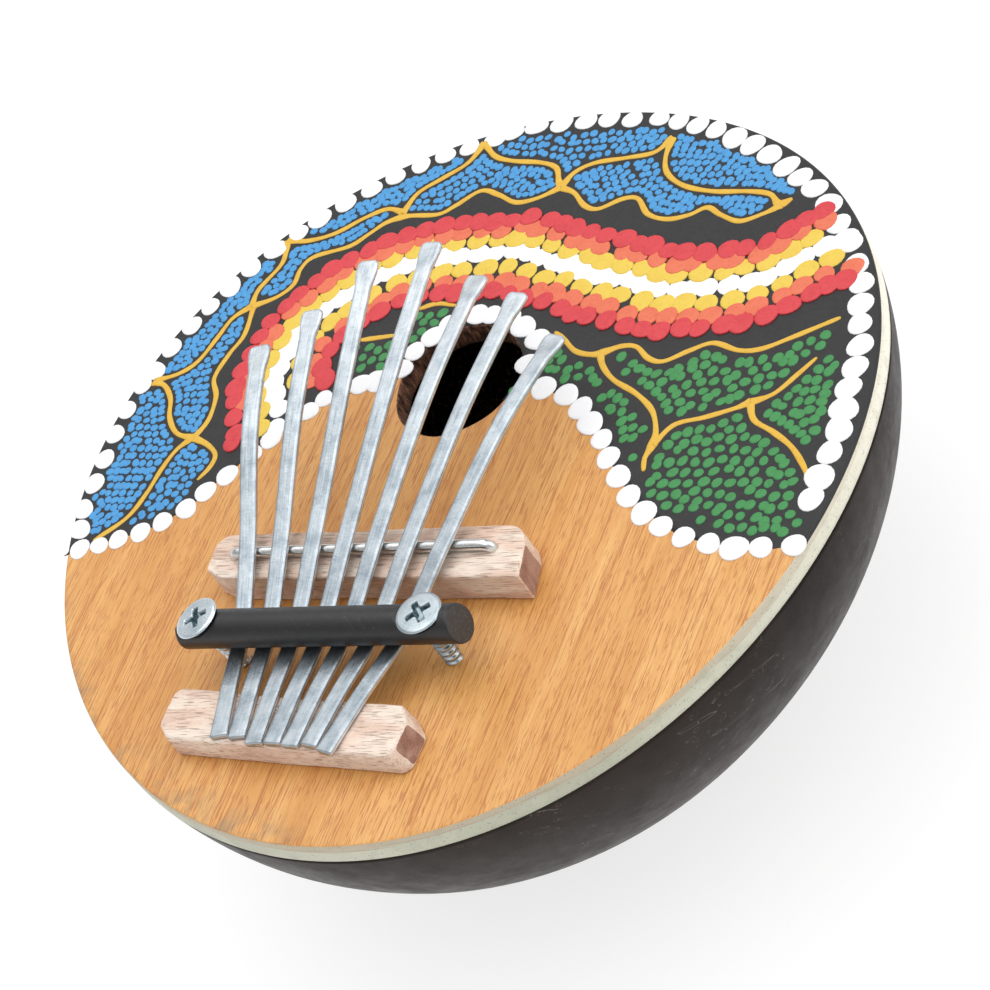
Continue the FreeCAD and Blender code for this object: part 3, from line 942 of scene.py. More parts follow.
@dataclass
class Soundboard:
    """The plywood disc, with the hole's fibrous wall and its lacquered edge.

    Attributes:
        ease: radius of its edges.
        torn: how far the hole's wall is torn in and out.
        around: points round the rim.
        rings: rings from the hole to the rim.
    """

    ease: float = 0.45
    torn: float = 0.3
    around: int = 256
    rings: int = 44

    def build(self) -> None:
        """A skin closed both ways: up the hole's wall, out over the face, down the edge, back.

        Between hole and rim a ring is the straight mix of the two outlines. Each ring is given
        by its share of the way out, the hole's and the rim's offsets, and its height.
        """
        angle = round_about(self.around)
        bend = [(self.ease * (1 - math.cos(a)), BOARD_TOP - self.ease * (1 - math.sin(a)))
                for a in np.linspace(0, np.pi / 2, 5)]
        ease, side = self.ease, BOARD_TOP - BOARD_LOW - self.ease
        wall = [(0, 0, 0, BOARD_LOW + step * side) for step in np.linspace(0, 1, 9)[:-1]]
        lip = [(0, off, 0, height) for off, height in bend]
        face = [(share, ease * (1 - share), ease * share, BOARD_TOP)
                for share in np.linspace(0, 1, self.rings)[1:-1]]
        brim = [(1, 0, off, height) for off, height in bend[::-1]]
        edge = [(1, 0, 0, BOARD_TOP - ease - step * side) for step in np.linspace(0, 1, 6)[1:]]
        back = [(share, 0, 0, BOARD_LOW) for share in np.linspace(1, 0, 12)[1:-1]]
        rings = np.array(wall + lip + face + brim + edge + back, float)
        share, grow, inset, z = (column[:, None] for column in rings.T)
        flat = (HOLE.at(angle[None, :], grow) * (1 - share[..., None])
                + RIM.at(angle[None, :], inset) * share[..., None])
        grid = np.dstack([flat, np.broadcast_to(z, flat.shape[:2])])
        bored = grid[1:len(wall) + 1]
        torn = waves(bored * (1, 1, 0.35), 2.2, 5, 3) * self.torn
        bored[..., :2] += (bored[..., :2] - HOLE.centre) / HOLE.radius * torn[..., None]
        # finish of the band from each ring to the next: wall, face, edge, and the rest is back
        top_start = len(wall + lip) - 2
        top_end = len(wall + lip + face) + 2
        edge_end = len(wall + lip + face + brim + edge) - 1
        slots = np.full(len(rings), 3)
        slots[:top_start], slots[top_start:top_end], slots[top_end:edge_end] = 1, 0, 2
        faces = quads(len(rings), self.around, True, True).tolist()
        board = mesh_object("soundboard_ply", grid.reshape(-1, 3), faces,
                            np.repeat(slots, self.around))
        fix_piece(board, "board", VENEER, HOLE_WALL, BOARD_EDGE, BACK_VENEER, node="soundboard")


# ---------------------------------------------------------------- the dot painting


def inside(points: Array, polygon: Array) -> NDArray[np.bool_]:
    """Which points lie in a closed polygon: those whose ray to the right crosses it oddly often."""
    a, b = polygon, np.roll(polygon, -1, axis=0)
    x, y = points[:, :1], points[:, 1:]
    crosses = (a[:, 1] > y) != (b[:, 1] > y)
    rise = np.where(b[:, 1] == a[:, 1], 1e-9, b[:, 1] - a[:, 1])
    at = a[:, 0] + (y - a[:, 1]) / rise * (b[:, 0] - a[:, 0])
    return (crosses & (x < at)).sum(axis=1) % 2 == 1


def distance(points: Array, path: Array) -> Array:
    """Distance from each point to the nearest straight run of a path."""
    a, run = path[:-1], np.diff(path, axis=0)
    offset = points[:, None, :] - a
    share = np.clip((offset * run).sum(-1) / (run**2).sum(-1), 0, 1)
    return np.linalg.norm(offset - share[..., None] * run, axis=-1).min(axis=1)


@dataclass
class Dabs:
    """A set of paint dots of one colour, as low flat dabs merged into one mesh.

    Attributes:
        name: the piece's name.
        paint: their colour.
        radius: mean radius.
        height: how high a dab stands.
        seed: picks the small differences between dabs.
        lift: height of the surface that they lie on, above the board's face.
        around: points round a dab.
        rings: radius and height of each ring, from the foot of the edge to the flat crown.
        wobble: number and height of the waves in a dab's outline.
        sunk: how far its foot reaches into the board.
    """

    name: str
    paint: Paint
    radius: float
    height: float
    seed: int
    lift: float
    around: int = 14
    rings: tuple = ((1.0, 0.0), (1.0, 0.3), (0.9, 0.86), (0.62, 1.0))
    wobble: tuple = ((2, 0.045), (3, 0.035))
    sunk: float = 0.02

    def build(self, centres: Array, heading: Array | None = None,
              scale: Array | float = 1.0) -> None:
        """Every dab is a flat-topped oval, rounded at its edge and set at its own angle.

        Args:
            centres: (n, 2) places on the board.
            heading: direction of each dab's longer axis; random where left out.
            scale: size of each dab against the mean radius.
        """
        draw = np.random.default_rng(self.seed)
        count, around = len(centres), self.around
        turn = round_about(around)
        reach, rise = (column[:, None] for column in np.array(self.rings).T)
        ring = np.stack([reach * np.cos(turn), reach * np.sin(turn)], axis=-1).reshape(-1, 2)
        local = np.vstack([ring, [[0.0, 0.0]]])
        tall = np.append(np.broadcast_to(rise, (len(rise), around)).ravel(), 1.0)
        size = self.radius * draw.uniform(0.88, 1.1, (count, 1)) * np.reshape(scale, (-1, 1))
        long = draw.uniform(1.01, 1.11, (count, 1))
        wave = 1.0
        for lobes, swell in self.wobble:
            shift = draw.uniform(0, 6.3, (count, 1))
            wave = wave + swell * np.sin(lobes * np.arctan2(local[:, 1], local[:, 0]) + shift)
        angle = draw.uniform(0, np.pi, (count, 1))
        if heading is not None:
            angle = heading[:, None] + draw.normal(0, 0.2, (count, 1))
        x, y = local[:, 0] * size * long * wave, local[:, 1] * size / long * wave
        # each dab starts at its own small height, so that crowns which overlap don't coincide
        step = draw.permutation(count)[:, None] / max(count, 1) * 0.05
        thick = self.height * draw.uniform(0.95, 1.05, (count, 1))
        z = np.where(tall > 0, self.lift + step + tall * thick, -self.sunk)
        x, y = turned(x, y, angle)
        points = np.stack([centres[:, :1] + x, centres[:, 1:] + y, BOARD_TOP + z], axis=-1)
        one = quads(len(rise), around, False, True).tolist()
        crown = len(ring) - around
        one += [[crown + (k + 1) % around, crown + k, len(ring)] for k in range(around)]
        one.append(list(range(around)))
        faces = [[corner + number * len(local) for corner in face]
                 for number in range(count) for face in one]
        piece = mesh_object(self.name, points.reshape(-1, 3), faces)
        fix_piece(piece, "board", self.paint.value)


@dataclass
class Painting:
    """A dark ground round the upper half of the board, with rows and fields of dots and gold vines.

    Points are (x, y) on the board's face, laid out as a painter would sketch them.

    Attributes:
        ground_lift: thickness of the ground.
        wrap: steps of (inset, drop) in which it wraps over the board's rounded edge.
        edge_start, edge_end: directions of its two ends on the rim.
        border, border_right: its lower edge, left and right of the sound hole.
        border_places, rim_places, rim_left_places: the white dots.
        band: centre line of the rainbow.
        vines: the golden strokes.
        knots: places where strokes meet and swell.
        stroke_step: spacing of the points along a stroke.
        stroke_half, stroke_rise: half the width and the height of a stroke.
        knot_half, knot_rise: what a knot adds to them.
        knot_reach: length over which a stroke swells at a knot.
        free_end: length over which a free end is tapered.
        rounds, give, longest_push: for easing dots apart: steps, the share of each overlap that
            a step takes away, and how far walls push at most.
        slid_share, slide: share of the dots that ran together, and how far they did.
        strokes: the golden strokes as smooth paths.
        dots: places of all white dots.
    """

    ground_lift: float = 0.07
    wrap: tuple = ((0.25, 0.02), (0.12, 0.1), (-0.03, 0.34))
    edge_start: float = math.radians(-16)
    edge_end: float = math.radians(193.5)
    border: tuple = (
        (-71.0, -17.2), (-64.5, -15.0), (-57, -13), (-49.5, -8.5), (-44, -1.7), (-37.5, 5.5),
        (-30.5, 12.6), (-24, 15.0), (-18.5, 16.2))
    border_right: tuple = (
        (5.2, 10.6), (8.5, 12.6), (12.8, 12.3), (20.5, 8.0), (26.5, 1.7), (32, -5.7),
        (39, -12.7), (47.5, -17.7), (57, -20.3), (65, -20.6), (69.2, -19.9))
    border_places: tuple = (
        (-68.1, -16.1), (-64.3, -15.5), (-60.8, -14.4), (-56.8, -13.1), (-53.1, -11.1),
        (-49.3, -8.6), (-46.8, -5.2), (-43.7, -2), (-40.2, 2.4), (-37.7, 5), (-32.4, 10.6),
        (-30.2, 13.1), (-27, 14.9), (-23.9, 15.7), (-21.1, 16.2), (-17, 18.4), (-15.7, 22),
        (-13.2, 24.9), (-11, 27.3), (-6, 29), (-3, 28.7), (0.6, 27.8), (4, 25.7), (7.8, 22.8),
        (7.7, 17.7), (12.3, 12.7), (17.1, 11), (20.7, 8.1), (23.5, 5), (26.7, 1.7), (29.1, -2),
        (32.2, -5.8), (35.3, -9.7), (39, -13), (42.9, -15.7), (47.5, -17.9), (52.3, -19.3),
        (56.9, -20.3), (61.5, -20.3), (67, -20.1))
    rim_places: tuple = (
        (67.3, -11.6), (67.6, -7.6), (68, -3), (68.3, 1.3), (68, 5.2), (67.6, 9.2), (67.6, 13.2),
        (67.3, 17.5), (66, 21.8), (65, 25.7), (64, 30), (62, 33.9), (59.7, 38.6), (56.4, 42.5),
        (53.4, 46.8), (49.8, 50.5), (46.5, 53.1), (43.2, 55.7), (39.3, 58.6), (35.4, 61.1),
        (31.5, 63), (27.4, 65.2), (23.5, 66.6), (19.5, 68), (15.5, 69), (10.2, 69.3), (5.5, 70),
        (1, 70), (-3.8, 70), (-8.7, 69.9), (-13.3, 69.2))
    rim_left_places: tuple = (
        (-70, 18.5), (-71.1, 13.2), (-71.2, 8), (-71.1, 2.7), (-71, -2.4), (-71, -7.8),
        (-69.9, -12))
    band: tuple = (
        (-37.7, 5), (-38, 9), (-40, 13), (-42, 17.5), (-42, 22), (-41.5, 26), (-40, 29.5),
        (-37.5, 32.5), (-34.5, 35.5), (-31, 38), (-28, 39.5), (-24, 41), (-17, 42), (-8, 42),
        (-3, 42), (1.7, 40.7), (5, 39), (9.7, 38), (13.7, 36), (17.7, 35), (21, 34), (24.3, 32.7),
        (28.3, 31.7), (34, 31.3), (41.7, 31.7), (46.3, 32.7), (51.7, 36), (55, 38), (60.3, 39.3))
    vines: tuple = (
        ((-66, -14.5), (-61, -10), (-59, -5), (-58, 0), (-56.5, 4), (-54, 6.5)),
        ((-54, 6.3), (-50.5, 4.7), (-48, 2.5), (-48, 0), (-49.5, -2.7)),
        ((-54, 6.3), (-58, 7.5), (-61, 11), (-62.5, 15), (-65, 18), (-67.8, 19)),
        ((-67.5, 19.2), (-63, 20.5), (-60, 23), (-58, 28), (-56.5, 32), (-53.5, 34.4)),
        ((-54, 6.3), (-52.5, 10), (-53, 15), (-55, 19), (-54, 24), (-52.5, 28), (-53, 34)),
        ((-53.5, 34.3), (-53.5, 38), (-51, 43), (-51, 46), (-51.7, 48.7)),
        ((-53.5, 34.3), (-49, 36), (-46.5, 38.5), (-46.3, 42), (-44.5, 44.5), (-38, 46.2),
         (-35, 48.5), (-32, 51), (-28, 52), (-22, 51.8), (-19, 53.5), (-15, 56.3), (-11, 55),
         (-7, 53), (-3, 53.5), (1, 55.5)),
        ((-51.7, 48.6), (-47, 48.3), (-42, 49.5), (-37, 52.5), (-33, 54), (-29.5, 53)),
        ((-29.5, 52.6), (-28, 57), (-24, 60), (-20, 63), (-18.2, 67.3)),
        ((-18.2, 67.3), (-15, 64), (-11, 62.5), (-5, 61.5), (-1.5, 60), (0, 57), (1, 55.3)),
        ((1, 55.4), (2.5, 58.5), (6, 60.3), (12, 60.8), (17, 61.5), (19.5, 64.5)),
        ((1, 55.4), (4, 54), (7, 51), (10, 50), (14, 51.7), (17, 51.5), (20, 48), (24, 46.5),
         (28, 47), (31, 48.3), (34, 46.5), (38, 44.8), (42, 46), (44.8, 47.5)),
        ((19.4, 64.3), (19.5, 60), (21, 56.5), (25, 53.5), (31, 51.7), (38, 51), (42, 50),
         (44.3, 47.7), (46.4, 48.7)),
        ((10.5, 24.2), (13, 22.3), (16, 19.8), (20, 19), (24, 20.3), (27, 20), (30, 17.5),
         (33, 16.7), (37, 18.5), (41, 19.8), (46, 18), (50, 18), (55, 20), (62.3, 23.3)),
        ((20.5, 19.5), (22, 16.5), (25, 13.5), (30, 10.5), (34, 7), (36, 3), (36.3, 0),
         (35.8, -2.5), (36.4, -5)),
        ((36.4, 0), (39, 3.8), (44, 5), (49, 6.5), (51.3, 7.6)),
        ((51.3, 7.4), (55, 9), (58, 12.5), (60.4, 15.6)),
        ((51.3, 7.4), (53, 4), (57, 1.5), (61, -1.5), (64, -5), (65.4, -7.2)),
        ((-28, 25.2), (-24, 25.5), (-20.5, 25.8)),
        ((-18.5, 31), (-15, 32), (-11, 31.3)),
    )
    knots: tuple = (
        (-54, 6.3), (-67.6, 19.1), (-53.4, 34.3), (-51.6, 48.4), (-29.6, 52.8), (-18.1, 66.8),
        (0.8, 55.8), (19.4, 63.8), (44.6, 47.8), (21, 19.3), (36.4, 0), (51.4, 7.4))
    stroke_step: float = 0.4
    stroke_half: float = 0.5
    stroke_rise: float = 0.17
    knot_half: float = 0.42
    knot_rise: float = 0.06
    knot_reach: float = 1.5
    free_end: float = 1.6
    rounds: int = 24
    give: float = 0.3
    longest_push: float = 0.6
    slid_share: float = 0.22
    slide: float = 0.3
    strokes: list[Array] = field(default_factory=list)
    dots: Array = field(default_factory=lambda: np.empty((0, 2)))

    def edge_line(self) -> Array:
        """The ground's lower edge, which skirts the upper half of the sound hole."""
        left = smooth_path(self.border, 0.8)
        right = smooth_path(self.border_right, 0.8)
        turn = np.radians(np.linspace(172, -22, 66))
        return np.vstack([left, HOLE.at(turn, 0.25), right])

    def build(self) -> None:
        """Ground first, then vines, the banded rows, the borders and the two dot fields."""
        self.strokes = [smooth_path(vine, self.stroke_step) for vine in self.vines]
        self.ground()
        self.vine_strokes()
        self.rainbow()
        self.borders()
        self.fields()

    def ground(self) -> None:
        """A thin skin of paint, top and underside: straight mixes of its lower edge and the rim."""
        lower = self.edge_line()
        count = len(lower)
        along = np.linspace(0, 1, count)
        angle = self.edge_end + (self.edge_start - self.edge_end) * along
        upper = RIM.at(angle, 0.5)
        wander = 0.16 * waves(np.column_stack([lower, np.zeros(count)]), 5, 3, 3)
        clear = np.linalg.norm(lower - HOLE.centre, axis=1) > HOLE.radius + 1
        lower = lower + left_of(lower) * (wander * clear)[:, None]
        share = np.linspace(0, 1, 30)[None, :, None]
        flat = lower[:, None, :] * (1 - share) + upper[:, None, :] * share
        from_edge = np.minimum(share[..., 0], 1 - share[..., 0])
        from_edge = from_edge * np.linalg.norm(upper - lower, axis=1)[:, None]
        top = BOARD_TOP + self.ground_lift * np.clip(from_edge / 0.5, 0.15, 1)
        for inset, drop in self.wrap:
            flat = np.concatenate([flat, RIM.at(angle, inset)[:, None]], axis=1)
            top = np.column_stack([top, np.full(count, BOARD_TOP - drop)])
        loop = np.concatenate([np.dstack([flat, top]), np.dstack([flat, top - 0.12])[:, ::-1]],
                              axis=1)
        fix_piece(tube_object("painted_ground", loop), "board", Paint.BLACK.value)

    def vine_strokes(self) -> None:
        """Gold strokes: a half-oval section carried along each path, tapered at free ends.

        The width swells near the knots where strokes meet, and wavers a little as a hand-led
        brush does.
        """
        points, faces, base = [], [], 0
        knots = np.array(self.knots)
        for number, path in enumerate(self.strokes):
            draw = np.random.default_rng(100 + number)
            run = np.arange(len(path)) * self.stroke_step
            from_knot = np.linalg.norm(path[:, None] - knots, axis=2).min(axis=1)
            near = np.exp(-(from_knot / self.knot_reach)**2)
            ends = np.clip(np.minimum(run, run[-1] - run) / self.free_end, 0, 1)
            wander = 0.05 * np.sin(run * 0.9 + draw.uniform(0, 6))
            width = self.stroke_half + self.knot_half * near + wander
            width *= np.maximum(0.45 + 0.55 * np.sqrt(ends), near)
            turn = np.linspace(0, np.pi, 7)
            off = width[:, None] * np.cos(turn)
            flat = path[:, None] + left_of(path)[:, None] * off[..., None]
            rise = (self.stroke_rise + self.knot_rise * near)[:, None]
            grid = np.dstack([flat, BOARD_TOP + 0.02 + rise * np.sin(turn)**0.6])
            floor = np.dstack([flat[:, -2:0:-2], np.full((len(path), 3), BOARD_TOP - 0.02)])
            grid = np.concatenate([grid, floor], axis=1)
            rows, around = grid.shape[:2]
            points.append(grid.reshape(-1, 3))
            faces += (quads(rows, around, False, True) + base).tolist()
            faces.append((base + np.arange(around)).tolist())
            faces.append((base + (rows - 1) * around + np.arange(around))[::-1].tolist())
            base += rows * around
        piece = mesh_object("painted_vines", np.vstack(points), faces)
        fix_piece(piece, "board", Paint.GOLD.value)

    def rainbow(self) -> None:
        """Seven rows that keep their distance from one wandering centre line.

        A row has its name, paint, distances from the line at its start, 0.3, 0.6 and its end,
        spacing, the shares of the line between which it runs, dot radius and lift.
        """
        centre = smooth_path(self.band, 0.25)
        side = left_of(centre)
        heading = np.unwrap(np.arctan2(side[:, 1], side[:, 0])) - np.pi / 2
        share = np.linspace(0, 1, len(centre))
        rows = (
            ("white", Paint.WHITE, (0.0, 0.0, 0.0, 0.0), 3.3, (0.0, 1.0), 2.2, 0.02),
            ("yellow_outer", Paint.YELLOW, (3.2, 2.8, 2.8, 3.0), 4.0, (0.02, 0.97), 2.05, 0.09),
            ("yellow_inner", Paint.YELLOW, (-4.4, -3.6, -3.0, -3.2), 4.3, (0.1, 1.0), 2.05, 0.09),
            ("orange_outer", Paint.ORANGE, (5.2, 5.0, 5.0, 5.6), 3.8, (0.07, 0.97), 2.0, 0.16),
            ("orange_inner", Paint.ORANGE, (-7.2, -6.2, -5.8, -6.0), 4.0, (0.1, 1.0), 1.95, 0.16),
            ("red_outer", Paint.RED, (7.8, 7.2, 7.1, 7.6), 3.5, (0.0, 0.965), 1.98, 0.23),
            ("red_inner", Paint.RED, (-9.5, -8.3, -8.0, -8.6), 3.7, (0.1, 1.0), 2.0, 0.23),
        )
        for seed, (name, paint, offsets, spacing, span, radius, lift) in enumerate(rows):
            offset = np.interp(share, (0, 0.3, 0.6, 1), offsets)
            line = centre + side * offset[:, None]
            run = run_along(line)
            draw = np.random.default_rng(40 + seed)
            places = np.arange(run[-1] * span[0], run[-1] * span[1], spacing)
            places = places + draw.normal(0, 0.25, len(places))
            at = places_on(line, places)
            at += draw.normal(0, 0.2, at.shape)
            dabs = Dabs("band_" + name, paint, radius, 0.12, 60 + seed, lift)
            dabs.build(at, np.interp(places, run, heading))

    def borders(self) -> None:
        """White dots along the rim and along the ground's lower edge."""
        draw = np.random.default_rng(7)
        angle = np.radians(np.linspace(103.5, 162.5, 16))
        upper = RIM.at(angle + draw.normal(0, 0.004, len(angle)),
                       1.8 + draw.normal(0, 0.15, len(angle)))
        rim = np.vstack([self.rim_places, upper, self.rim_left_places])
        border = np.array(self.border_places)
        lean = math.radians(-35)
        Dabs("rim_dots", Paint.WHITE, 2.2, 0.16, 8, 0.05, 18).build(
            rim, np.where(rim[:, 1] > 45, 0.0, lean),
            np.interp(rim[:, 0], (-60, 20, 66), (0.94, 0.93, 1.06)))
        Dabs("border_dots", Paint.WHITE, 2.2, 0.16, 9, 0.05, 18).build(
            border, np.full(len(border), lean), np.interp(border[:, 0], (-70, 20), (0.84, 1.0)))
        self.dots = np.vstack([rim, border])

    def scatter(self, region: Array, spacing: float, seed: int, margin: float) -> Array:
        """Places for small dots that fill a field in uneven rows along its edges.

        A shaken lattice is eased apart in steps: every point moves away from neighbours nearer
        than the spacing, and from strokes and white dots nearer than their margins. Points that
        end outside the region, or outside the rim less the width of its white dots, are dropped.
        Last, some slide towards their nearest neighbour, as dabs that ran together.

        Args:
            region: polygon of the field.
            spacing: least distance between dots.
            seed: picks the shake.
            margin: least distance from a dot's centre to a stroke's; border dots get 1.5 more.

        Returns:
            (n, 2) places.
        """
        draw = np.random.default_rng(seed)
        step = np.arange(-76, 76, spacing * 0.97)
        x, y = np.meshgrid(step, step * 0.88)
        x = x + (np.arange(len(step)) % 2 * spacing / 2)[:, None]
        at = np.column_stack([x.ravel(), y.ravel()]) + draw.normal(0, 0.2 * spacing, (x.size, 2))
        at = at[inside(at, region)]
        walls = np.vstack([*self.strokes, self.dots])
        first_dot = len(walls) - len(self.dots)
        reach = np.where(np.arange(len(walls)) < first_dot, margin, margin + 1.5)
        rows = np.arange(len(at))
        for _ in range(self.rounds):
            gap = at[:, None] - at[None]
            apart = np.linalg.norm(gap, axis=-1) + 99 * np.eye(len(at))
            overlap = np.clip(spacing - apart, 0, None) / apart
            push = self.give * (gap * overlap[..., None]).sum(axis=1)
            away = np.linalg.norm(at[:, None] - walls, axis=-1)
            worst = (reach - away).argmax(axis=1)
            lack = np.clip((reach - away)[rows, worst], 0, self.longest_push)
            push += (at - walls[worst]) * (lack / away[rows, worst])[:, None]
            at = at + push
        keep = (lack < 0.35) & inside(at, region)
        keep &= inside(at, RIM.at(round_about(180), 2.8))
        close = apart.argmin(axis=1)
        slid = self.slide * (draw.uniform(size=len(at)) < self.slid_share)
        return (at + (at[close] - at) * slid[:, None])[keep]

    def fields(self) -> None:
        """Blue dots between the rim and the lower vine, green ones in the right-hand cells."""
        beyond = RIM.at(np.radians(np.linspace(47, 192, 60)), 0.5)
        strokes = self.strokes
        lower_vine = np.vstack([strokes[1][::-1], strokes[4], strokes[6], strokes[11]])
        blue = np.vstack([[(-52, -9)], lower_vine, [(48.5, 51.5)], beyond])
        at = self.scatter(blue, 1.86, 21, 1.8)
        Dabs("field_blue", Paint.BLUE, 0.76, 0.12, 22, 0.02, 9).build(at)
        right = np.vstack([strokes[13][:-4], [(60.8, 16.8), (66, 17)],
                           RIM.at(np.radians(np.linspace(12, -14, 20)), 3.0),
                           smooth_path(self.border_right, 2.0)[::-1]])
        at = self.scatter(right, 2.65, 31, 2.5)
        left = np.array([(-28, 24.5), (-21, 24.6), (-18.5, 30), (-11, 30.3), (-12.5, 27),
                         (-17, 20), (-27.5, 18)])
        at = np.vstack([at, self.scatter(left, 2.2, 32, 1.6)])
        Dabs("field_green", Paint.GREEN, 0.96, 0.12, 33, 0.02, 10).build(at)


# ---------------------------------------------------------------- blocks, wire, rod and screws


def sheared(grid: Array, end: float, reach: float, slide: Array) -> Array:
    """Shears the last stretch of a piece along X, so that its end face lies on a saw's plane.

    Args:
        grid: points (..., 3), whose end face stands at x = end.
        end: x of the square end.
        reach: length that takes up the shear.
        slide: how far the end moves at each point's height or depth.

    Returns:
        The points; the end moves by the whole slide and the rest less and less.
    """
    moved = grid.copy()
    moved[..., 0] += np.clip(1 - (end - grid[..., 0]) / reach, 0, 1) * slide
    return moved


def block_grid(stations: Array, near: Array, far: Array, bottom: float, top: float,
               ease: float, seed: int) -> Array:
    """A sawn block along X: rounded rectangles between its near and far edges, roughened.

    Args:
        stations: x of each section.
        near, far: its edges in y at each station.
        bottom, top: its heights.
        ease: edge radius.
        seed: picks the roughness.

    Returns:
        Grid (stations, points, 3).
    """
    draw_in = end_ease(np.minimum(stations - stations[0], stations[-1] - stations), ease)
    half_width = (far - near) / 2 - draw_in
    half_height = np.full(len(stations), (top - bottom) / 2) - draw_in
    section = rounded_section(half_width, half_height, np.full(len(stations), ease) * 0.98, 9, 4)
    y = (near + far)[:, None] / 2 + section[..., 0]
    z = (top + bottom) / 2 + section[..., 1]
    grid = np.stack([np.broadcast_to(stations[:, None], y.shape), y, z], axis=-1)
    fuzz, saw_marks = waves(grid * (0.16, 1, 1), 1.1, seed, 3), waves(grid, 14, seed + 1, 2)
    rough = fuzz * 0.055 + saw_marks * 0.1
    outward = section / np.stack([half_width, half_height], axis=-1)[:, None]
    grid[..., 1:] += np.clip(outward, -1, 1) * rough[..., None]
    grid[..., 2] = np.maximum(grid[..., 2], bottom + 0.01)
    return grid


@dataclass
class Blocks:
    """The two raw wood blocks glued to the board: the saddle's bridge, and the rear rest.

    Attributes:
        corner_cut, corner_round: of the bridge's left and far right corners.
        left_depth: the bridge's depth at its left end.
        end_turn: how far its right end is askew.
        rear_turn, rear_length, rear_depth, rear_centre: lie and size of the rear block.
        rear_cut, rear_slope: its corner cuts, and the slope of its right end.
    """

    corner_cut: float = 3.5
    corner_round: float = 4.0
    left_depth: float = 8.5
    end_turn: float = math.radians(9)
    rear_turn: float = math.radians(-4.8)
    rear_length: float = 47.2
    rear_depth: float = 9.2
    rear_centre: Span = (-8.7, -54.2)
    rear_cut: float = 2.6
    rear_slope: float = math.radians(14)

    @staticmethod
    def skin(name: str, node: str, grid: Array) -> None:
        """Skins a block, with darker end grain, partly painted shade, on its two sawn ends."""
        slots = np.zeros(len(grid) + 1, int)
        slots[[0, 1, -2, -1]] = 1
        fix_piece(tube_object(name, grid, slots), "block", BLOCK_WOOD, END_GRAIN_AND_SHADE, node=node)

    def bridge(self) -> None:
        """Two sawn corners at the left; at the right an askew end with a round far corner."""
        (left, near, _), (right, far, top) = low("front_bridge"), high("front_bridge")
        x = crowded(left, right, 110, 0.5)
        cut, nearer = self.corner_cut, far - self.left_depth
        near_edge = np.interp(x, (left, left + cut, right), (nearer + cut / 2, nearer, near))
        far_edge = far - np.interp(x, (left, left + cut / 2), (cut / 2, 0))
        far_edge -= end_ease(right - x, self.corner_round)
        grid = block_grid(x, near_edge, far_edge, BOARD_TOP, top, 0.4, 70)
        grid = sheared(grid, right, 9.0, (near - grid[..., 1]) * math.tan(self.end_turn))
        self.skin("bridge_block", "front_bridge", grid)

    def rear(self) -> None:
        """Built square to X, then turned; its right end is sawn on a slope."""
        half, deep, cut = self.rear_length / 2, self.rear_depth / 2, self.rear_cut
        x = crowded(-half, half, 90, 0.5)
        near_cuts = np.interp(x, (-half, -half + cut, half - cut / 2, half), (cut, 0, 0, cut / 2))
        far_cuts = np.interp(x, (-half, -half + cut / 2, half - cut, half), (cut / 2, 0, 0, cut))
        grid = block_grid(x, near_cuts - deep, deep - far_cuts, BOARD_TOP,
                          high("rear_block")[2], 0.55, 80)
        grid = sheared(grid, half, 7.0, (BOARD_TOP - grid[..., 2]) * math.tan(self.rear_slope))
        lying = np.stack(turned(grid[..., 0], grid[..., 1], self.rear_turn), axis=-1)
        grid[..., :2] = self.rear_centre + lying
        self.skin("rear_rest_block", "rear_block", grid)


@dataclass
class SaddleWire:
    """Bright round wire stapled into the bridge.

    Attributes:
        radius: of the wire.
        bend: radius of its two bends, at its middle line.
        around: points round the wire.
        leg_points, bend_points, run_points: points along a leg, a bend and the level run.
    """

    radius: float = 0.95
    bend: float = 1.35
    around: int = 24
    leg_points: int = 5
    bend_points: int = 10
    run_points: int = 58

    def build(self) -> None:
        """A circle carried along a path of straight runs and quarter-circle bends.

        The right half of the path is the left half's mirror image.
        """
        (left, _, foot), (right, _, top) = low("saddle_wire"), high("saddle_wire")
        y = middle("saddle_wire")[1]
        left, right, axis = left + self.radius, right - self.radius, top - self.radius
        turn = np.linspace(0, np.pi / 2, self.bend_points)
        leg = np.linspace(foot, axis - self.bend, self.leg_points + 1)[:-1]
        run = np.linspace(left + self.bend, right - self.bend, self.run_points + 2)[1:-1]
        x = np.concatenate([np.full(self.leg_points, left), left + self.bend * (1 - np.cos(turn))])
        z = np.concatenate([leg, axis - self.bend * (1 - np.sin(turn))])
        angle = np.concatenate([np.full(self.leg_points, np.pi / 2), np.pi / 2 - turn])
        x = np.concatenate([x, run, left + right - x[::-1]])
        z = np.concatenate([z, np.full(self.run_points, axis), z[::-1]])
        angle = np.concatenate([angle, np.zeros(self.run_points), -angle[::-1]])[:, None]
        ring = round_about(self.around)
        radius = np.full((len(x), 1), self.radius)
        radius[[0, -1]] *= 0.8
        side, rise = radius * np.cos(ring), radius * np.sin(ring)
        grid = np.stack([x[:, None] - rise * np.sin(angle), y + side,
                         z[:, None] + rise * np.cos(angle)], axis=-1)
        run = run_along(np.column_stack([x, z]))
        uv = np.stack(np.broadcast_arrays(run[:, None], ring * self.radius), axis=-1)
        fix_piece(tube_object("saddle_staple", grid, uv=uv), "wire", WIRE_STEEL,
                  node="saddle_wire")


ROD_RADIUS = 3.1
ROD_Y = float(middle("clamp_rod")[1])
ROD_Z = float(high("clamp_rod")[2] - ROD_RADIUS)


